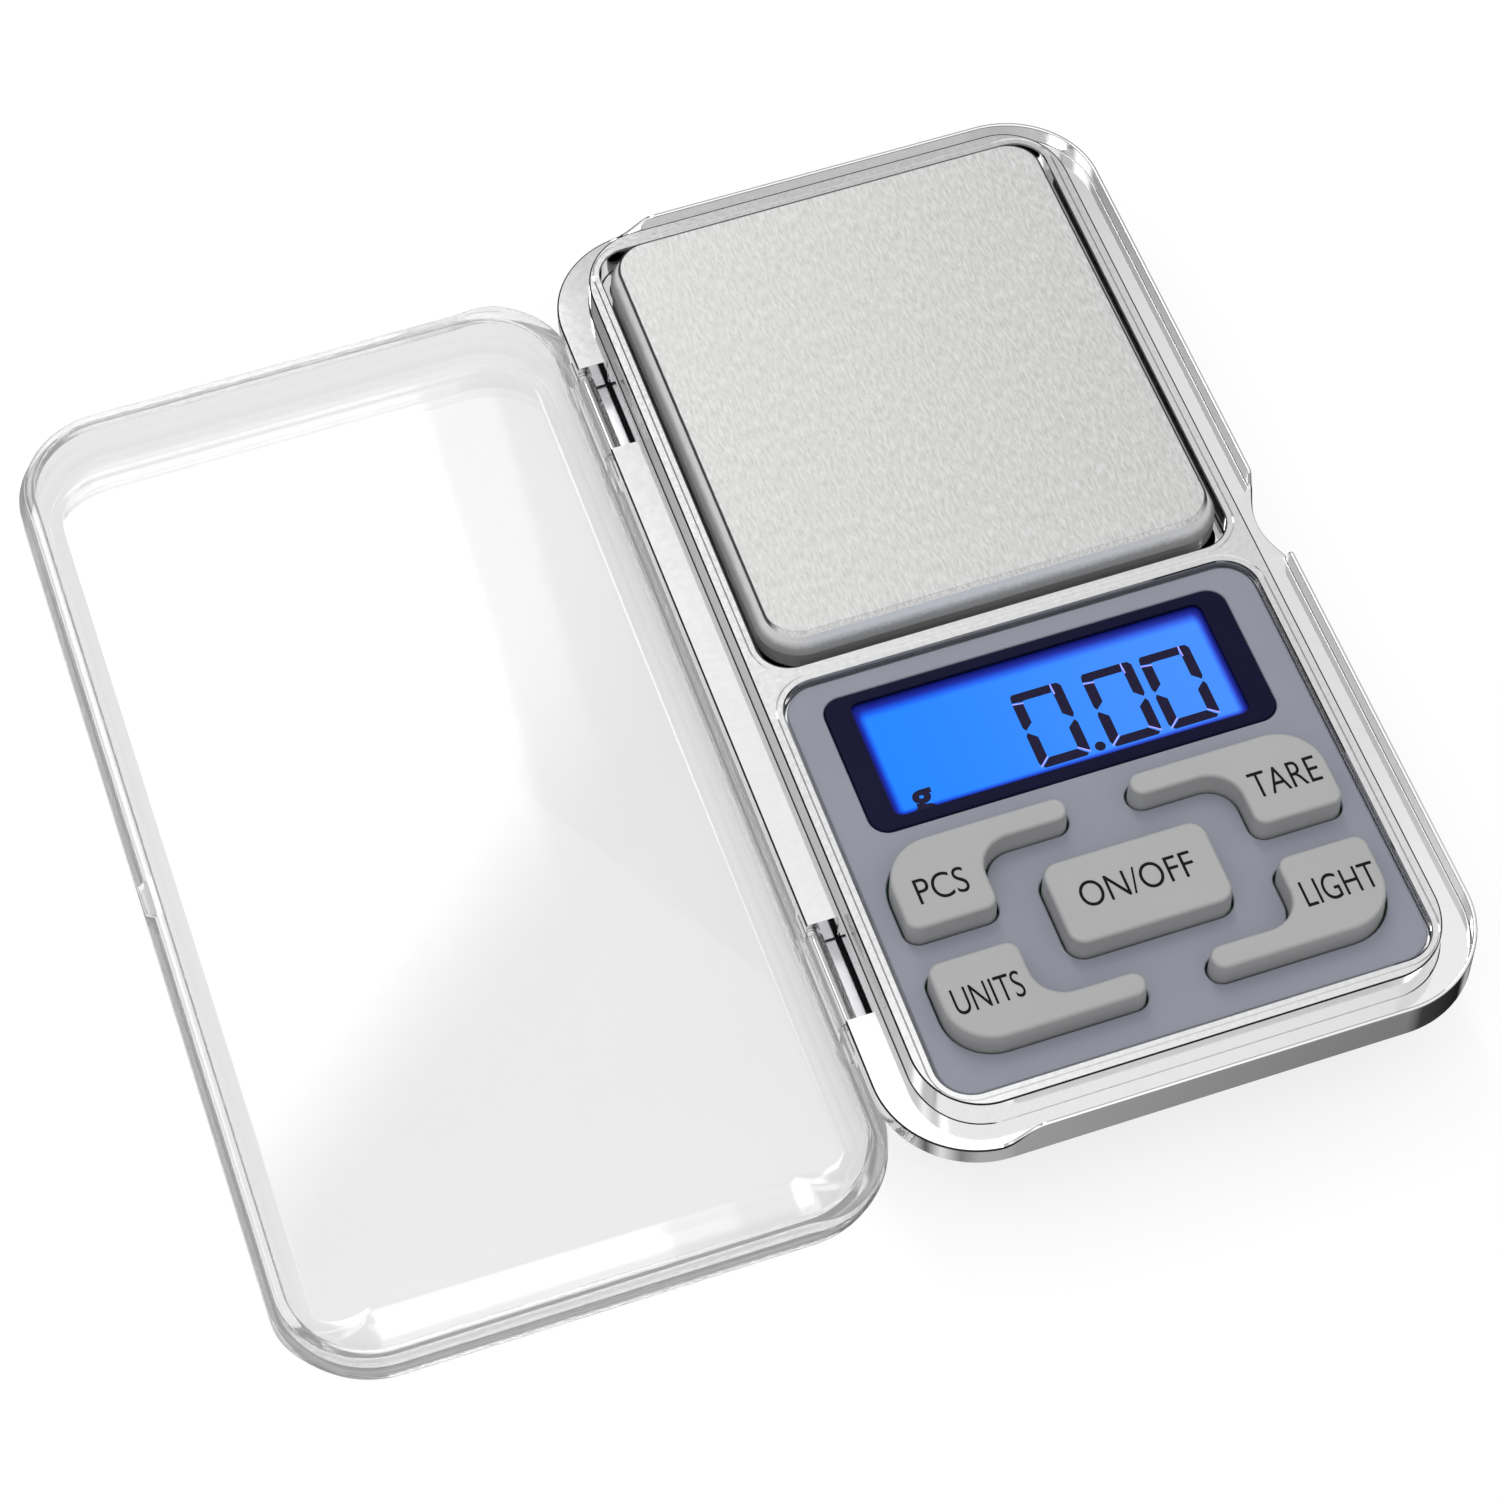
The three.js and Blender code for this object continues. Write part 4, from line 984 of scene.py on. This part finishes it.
def display_window():
    """The dark border of the display window, with the lit opening left clear."""
    outline = rounded_outline(plan_box(lens_low, lens_high), LENS_R, 12)
    holes = [rounded_outline(LIT, 1.0, 10)]
    piece = pierced_plate("display_border", outline, holes, lens_low.z, lens_high.z, 0.03)
    finish_piece(piece, "display_border", "case", "lens_plastic", "display_lens")


def lit_glass():
    """The glowing glass just below the border; gives the height of its face."""
    face = lens_low.z + 0.1
    x0, x1, y0, y1 = LIT
    outline = rounded_outline((x0 - 0.1, x1 + 0.1, y0 - 0.1, y1 + 0.1), 1.0, 8)
    side = [(0.0, face - 0.15), (0.0, face)]
    piece = closed_skin("lit_glass", outline, lambda sample: side)
    finish_piece(piece, "lit_glass", "case", "display_glass", "display_glass")
    return face


# One digit in a unit cell: the strokes that light for a nought, as corner lists.
STROKES = {
    "top": [
        (0.06, 1.0), (0.02, 0.975), (0.0, 0.9), (0.19, 0.885), (0.24, 0.895), (0.78, 0.895),
        (0.80, 1.0),
    ],
    "upper_left": [(0.0, 0.872), (0.2, 0.857), (0.2, 0.6), (0.04, 0.515), (0.0, 0.56)],
    "lower_left": [
        (0.0, 0.44), (0.04, 0.485), (0.2, 0.40), (0.2, 0.135), (0.03, 0.045), (0.0, 0.08),
    ],
    "bottom": [
        (0.055, 0.025), (0.09, 0.0), (0.9, 0.0), (0.945, 0.025), (0.77, 0.115), (0.23, 0.115),
    ],
    "lower_right": [
        (1.0, 0.08), (1.0, 0.44), (0.96, 0.485), (0.8, 0.40), (0.8, 0.135), (0.97, 0.045),
    ],
    "upper_right": [
        (0.83, 1.0), (0.94, 0.995), (1.0, 0.95), (1.0, 0.56), (0.96, 0.515), (0.8, 0.6),
        (0.8, 0.89),
    ],
}
DIGIT_W, DIGIT_H, DIGIT_Y = 5.5, 9.3, -22.4
DIGIT_XS = (-3.3, 4.35, 10.65)
DOT_PLACE = (3.25, DIGIT_Y + 0.6)
DOT_R = 0.55

# Fine pale lines where the strokes of a digit nearly meet: start and end in the same unit cell.
GAP_LINES = [
    ((0.81, 1.0), (0.82, 0.86)), ((0.0, 0.878), (0.21, 0.862)),
    ((0.02, 0.02), (0.21, 0.13)), ((0.79, 0.13), (0.99, 0.04)),
]
GAP_WIDTH = 0.13


def in_digit(x0, u, v):
    """A place (u, v) of the unit cell in the digit that starts at x0."""
    return x0 + u * DIGIT_W, DIGIT_Y + v * DIGIT_H


def gap_ring(x0, start, end):
    """Corners of a thin line between two places of a digit."""
    a, b = Vector(in_digit(x0, *start)), Vector(in_digit(x0, *end))
    side = (b - a).normalized().orthogonal() * GAP_WIDTH / 2
    return [tuple(point) for point in (a - side, b - side, b + side, a + side)]


def thin_plates(rings, z, thick, name, ink):
    """Flat plates of ink, one for each ring of corners."""
    bm = bmesh.new()
    for ring in rings:
        low = [bm.verts.new(((x + CASE_X) * MM, y * MM, z * MM)) for x, y in ring]
        high = [bm.verts.new((vert.co.x, vert.co.y, (z + thick) * MM)) for vert in low]
        for i in range(len(ring)):
            k = (i + 1) % len(ring)
            bm.faces.new((low[i], low[k], high[k], high[i]))
        bm.faces.new(high)
        bm.faces.new(low[::-1])
    ink_piece(link(bm, name), "case", ink)


def display_digits(z):
    """The lit figures with their point, the pale lines in them and the unit's letter."""
    ink = printed("display_ink", (0.010, 0.007, 0.035), 0.4)
    strokes = [
        [in_digit(x0, u, v) for u, v in stroke] for x0 in DIGIT_XS for stroke in STROKES.values()
    ]
    thin_plates(strokes, z, INK_THICK, "display_digits", ink)
    glow = printed("display_gap", (0.27, 0.25, 0.98), 0.4, 0.9)
    lines = [gap_ring(x0, *line) for x0 in DIGIT_XS for line in GAP_LINES]
    thin_plates(lines, z, INK_THICK + 0.01, "display_gaps", glow)
    dot_x, dot_y = DOT_PLACE
    dot = cylinder_piece(DOT_R, (dot_x, dot_y, z), (dot_x, dot_y, z + INK_THICK), 32)
    dot.name = "display_dot"
    ink_piece(dot, "case", ink)
    unit = text_mesh("g", 2.3, 3.3, -15.7, -22.3, z, INK_THICK, "display_unit", 0.035)
    ink_piece(unit, "case", ink)


# ---- stage, light and camera -------------------------------------------
def floor():
    """A pale floor that glows a little, so that it stays white under the soft light."""
    bpy.ops.mesh.primitive_plane_add(size=6, location=(0, 0, 0))
    plane = bpy.context.object
    plane.name = "studio_floor"
    material, nodes, links, shader = new_material("studio_floor")
    shader.inputs["Base Color"].default_value = (0.3, 0.3, 0.3, 1)
    shader.inputs["Roughness"].default_value = 1.0
    shader.inputs["Specular IOR Level"].default_value = 0.0
    shader.inputs["Emission Color"].default_value = (1, 1, 1, 1)
    shader.inputs["Emission Strength"].default_value = 0.75
    plane.data.materials.append(material)
    plane.visible_glossy = False


# Light by height in the room, from straight down to straight up.
ROOM_STOPS = [
    (-1.0, 0.46), (-0.6, 0.42), (-0.32, 0.4), (-0.2, 0.05), (0.05, 0.02), (0.26, 0.04),
    (0.4, 0.6), (0.52, 0.92), (1.0, 1.0),
]
# Light by direction round the room below the horizon, in turns from straight left.
FLOOR_STOPS = [
    (0.0, 0.75), (0.05, 0.1), (0.1, 0.85), (0.16, 0.25), (0.22, 0.46), (0.305, 0.44),
    (0.34, 0.25), (0.38, 0.05), (0.54, 0.01), (0.58, 0.5), (0.64, 0.05), (0.75, 0.35),
    (0.86, 0.4), (0.93, 0.2), (1.0, 0.75),
]


def room_light(nodes, links, x, y, z):
    """The room's own light: by height above the floor, and by direction round it below."""
    place = smooth_step(nodes, links, z, -1, 1, kind="LINEAR")
    room = ramp(nodes, links, place, [((h + 1) / 2, (v, v, v)) for h, v in ROOM_STOPS])
    turn = combine(nodes, links, "ARCTAN2", y, x)
    place = smooth_step(nodes, links, turn, -math.pi, math.pi, kind="LINEAR")
    streaks = ramp(nodes, links, place, [(a, (v, v, v)) for a, v in FLOOR_STOPS])
    below = smooth_step(nodes, links, z, -0.25, -0.55)
    return mix_colours(nodes, links, below, room, streaks)


def ceiling_shades(nodes, links, x, y):
    """Darker parts of the ceiling on the right, the back and the left, and a brighter front."""
    right = smooth_step(nodes, links, x, 0.22, 0.36, 0.0, -0.2)
    back = smooth_step(nodes, links, y, 0.55, 0.66, 0.0, -0.42)
    left = combine(
        nodes, links, "MULTIPLY",
        smooth_step(nodes, links, x, 0.0, -0.12, 0.0, -0.75),
        smooth_step(nodes, links, x, -0.42, -0.3),
        smooth_step(nodes, links, y, 0.0, 0.2),
    )
    corner = combine(
        nodes, links, "MULTIPLY",
        smooth_step(nodes, links, x, -0.36, -0.44, 0.0, -0.8),
        smooth_step(nodes, links, y, -0.05, 0.05),
        smooth_step(nodes, links, y, 0.3, 0.2),
    )
    front = smooth_step(nodes, links, y, 0.48, 0.44, 0.0, 0.15)
    return combine(nodes, links, "ADD", right, back, left, corner, front)


def lamp_panel(nodes, links, x, y):
    """A bright panel in the ceiling, whose right side falls off in three steps."""
    steps = combine(
        nodes, links, "ADD",
        smooth_step(nodes, links, x, 0.118, 0.114, 0.0, 3.0),
        smooth_step(nodes, links, x, 0.134, 0.131, 0.0, 1.2),
        smooth_step(nodes, links, x, 0.150, 0.147, 0.0, 0.8),
    )
    slant = combine(nodes, links, "ADD", y, combine(nodes, links, "MULTIPLY", x, -0.6))
    left = smooth_step(nodes, links, x, -0.06, -0.02)
    front = smooth_step(nodes, links, slant, 0.44, 0.5)
    return combine(nodes, links, "MULTIPLY", steps, left, front)


def studio_world():
    """A soft white room: a bright ceiling with a lamp panel, a dark horizon and a streaked floor.

    What the camera sees of it directly is plain white, and so is most of what shows through the
    clear cover.
    """
    world = bpy.data.worlds.new("studio")
    bpy.context.scene.world = world
    world.use_nodes = True
    nodes, links = world.node_tree.nodes, world.node_tree.links
    coordinates = nodes.new("ShaderNodeTexCoord")
    split = nodes.new("ShaderNodeSeparateXYZ")
    links.new(coordinates.outputs["Generated"], split.inputs["Vector"])
    x, y, z = (split.outputs[axis] for axis in "XYZ")
    ceiling = combine(
        nodes, links, "ADD", ceiling_shades(nodes, links, x, y), lamp_panel(nodes, links, x, y),
    )
    ceiling = combine(nodes, links, "MULTIPLY", ceiling, smooth_step(nodes, links, z, 0.3, 0.5))
    path = nodes.new("ShaderNodeLightPath")
    behind = combine(
        nodes, links, "MULTIPLY",
        path.outputs["Is Transmission Ray"],
        smooth_step(nodes, links, y, -0.2, 0.4, 0.8, 0.95),
        smooth_step(nodes, links, x, -0.5, -0.05, 0.6, 1.0),
    )
    light = mix_colours(nodes, links, behind, room_light(nodes, links, x, y, z), WHITE)
    light = mix_colours(nodes, links, 1.0, light, ceiling, "ADD")
    light = mix_colours(nodes, links, path.outputs["Is Camera Ray"], light, WHITE)
    links.new(light, nodes["Background"].inputs["Color"])


def softbox(name, place, target, width, length, power):
    """A rectangular lamp that faces a target."""
    light = bpy.data.lights.new(name, "AREA")
    light.shape = "RECTANGLE"
    light.size = width
    light.size_y = length
    light.energy = power
    lamp = bpy.data.objects.new(name, light)
    lamp.location = place
    lamp.rotation_euler = (Vector(target) - Vector(place)).to_track_quat("-Z", "Y").to_euler()
    bpy.context.scene.collection.objects.link(lamp)


def camera():
    """The photograph's viewpoint, as recovered from the case's straight edges."""
    lens = bpy.data.cameras.new("camera")
    lens.sensor_width = 36
    lens.lens = 103.06
    lens.clip_start = 0.01
    view = bpy.data.objects.new("camera", lens)
    right = Vector((0.94583754, -0.32421008, -0.01670842))
    forward = Vector((0.16615541, 0.52766668, -0.83304277))
    up = right.cross(forward)
    turn = Matrix((right, up, -forward)).transposed().to_4x4()
    view.matrix_world = Matrix.Translation(Vector((-71.04, -237.74, 373.62)) * MM) @ turn
    bpy.context.scene.collection.objects.link(view)
    bpy.context.scene.camera = view


# ---- everything --------------------------------------------------------
camera()
floor()
studio_world()
softbox("overhead_light", (-0.25, 0.3, 0.9), (0, 0, 0), 0.9, 0.9, 1.0)
bpy.context.scene.view_settings.view_transform = "Standard"

MATERIALS["display_glass"] = lit_display(
    "display_glass",
    Vector(((LIT[0] + CASE_X) * MM, LIT[2] * MM, 0)),
    Vector(((LIT[1] + CASE_X) * MM, LIT[3] * MM, 0)),
)

slots = {entry["node"]: entry["material_slot"] for entry in frame["record"]["subparts"]}
for node_name, node in frame["nodes"].items():
    node.data.materials.clear()
    node.data.materials.append(MATERIALS[slots[node_name]])

silver_top()
silver_tub()
battery_cover()
foot_pads()
painted_notch_shades()
hinge_pins()
clear_cover()
steel_pan()
key_caps()
grey_panel()
key_legends()
display_window()
display_digits(lit_glass())
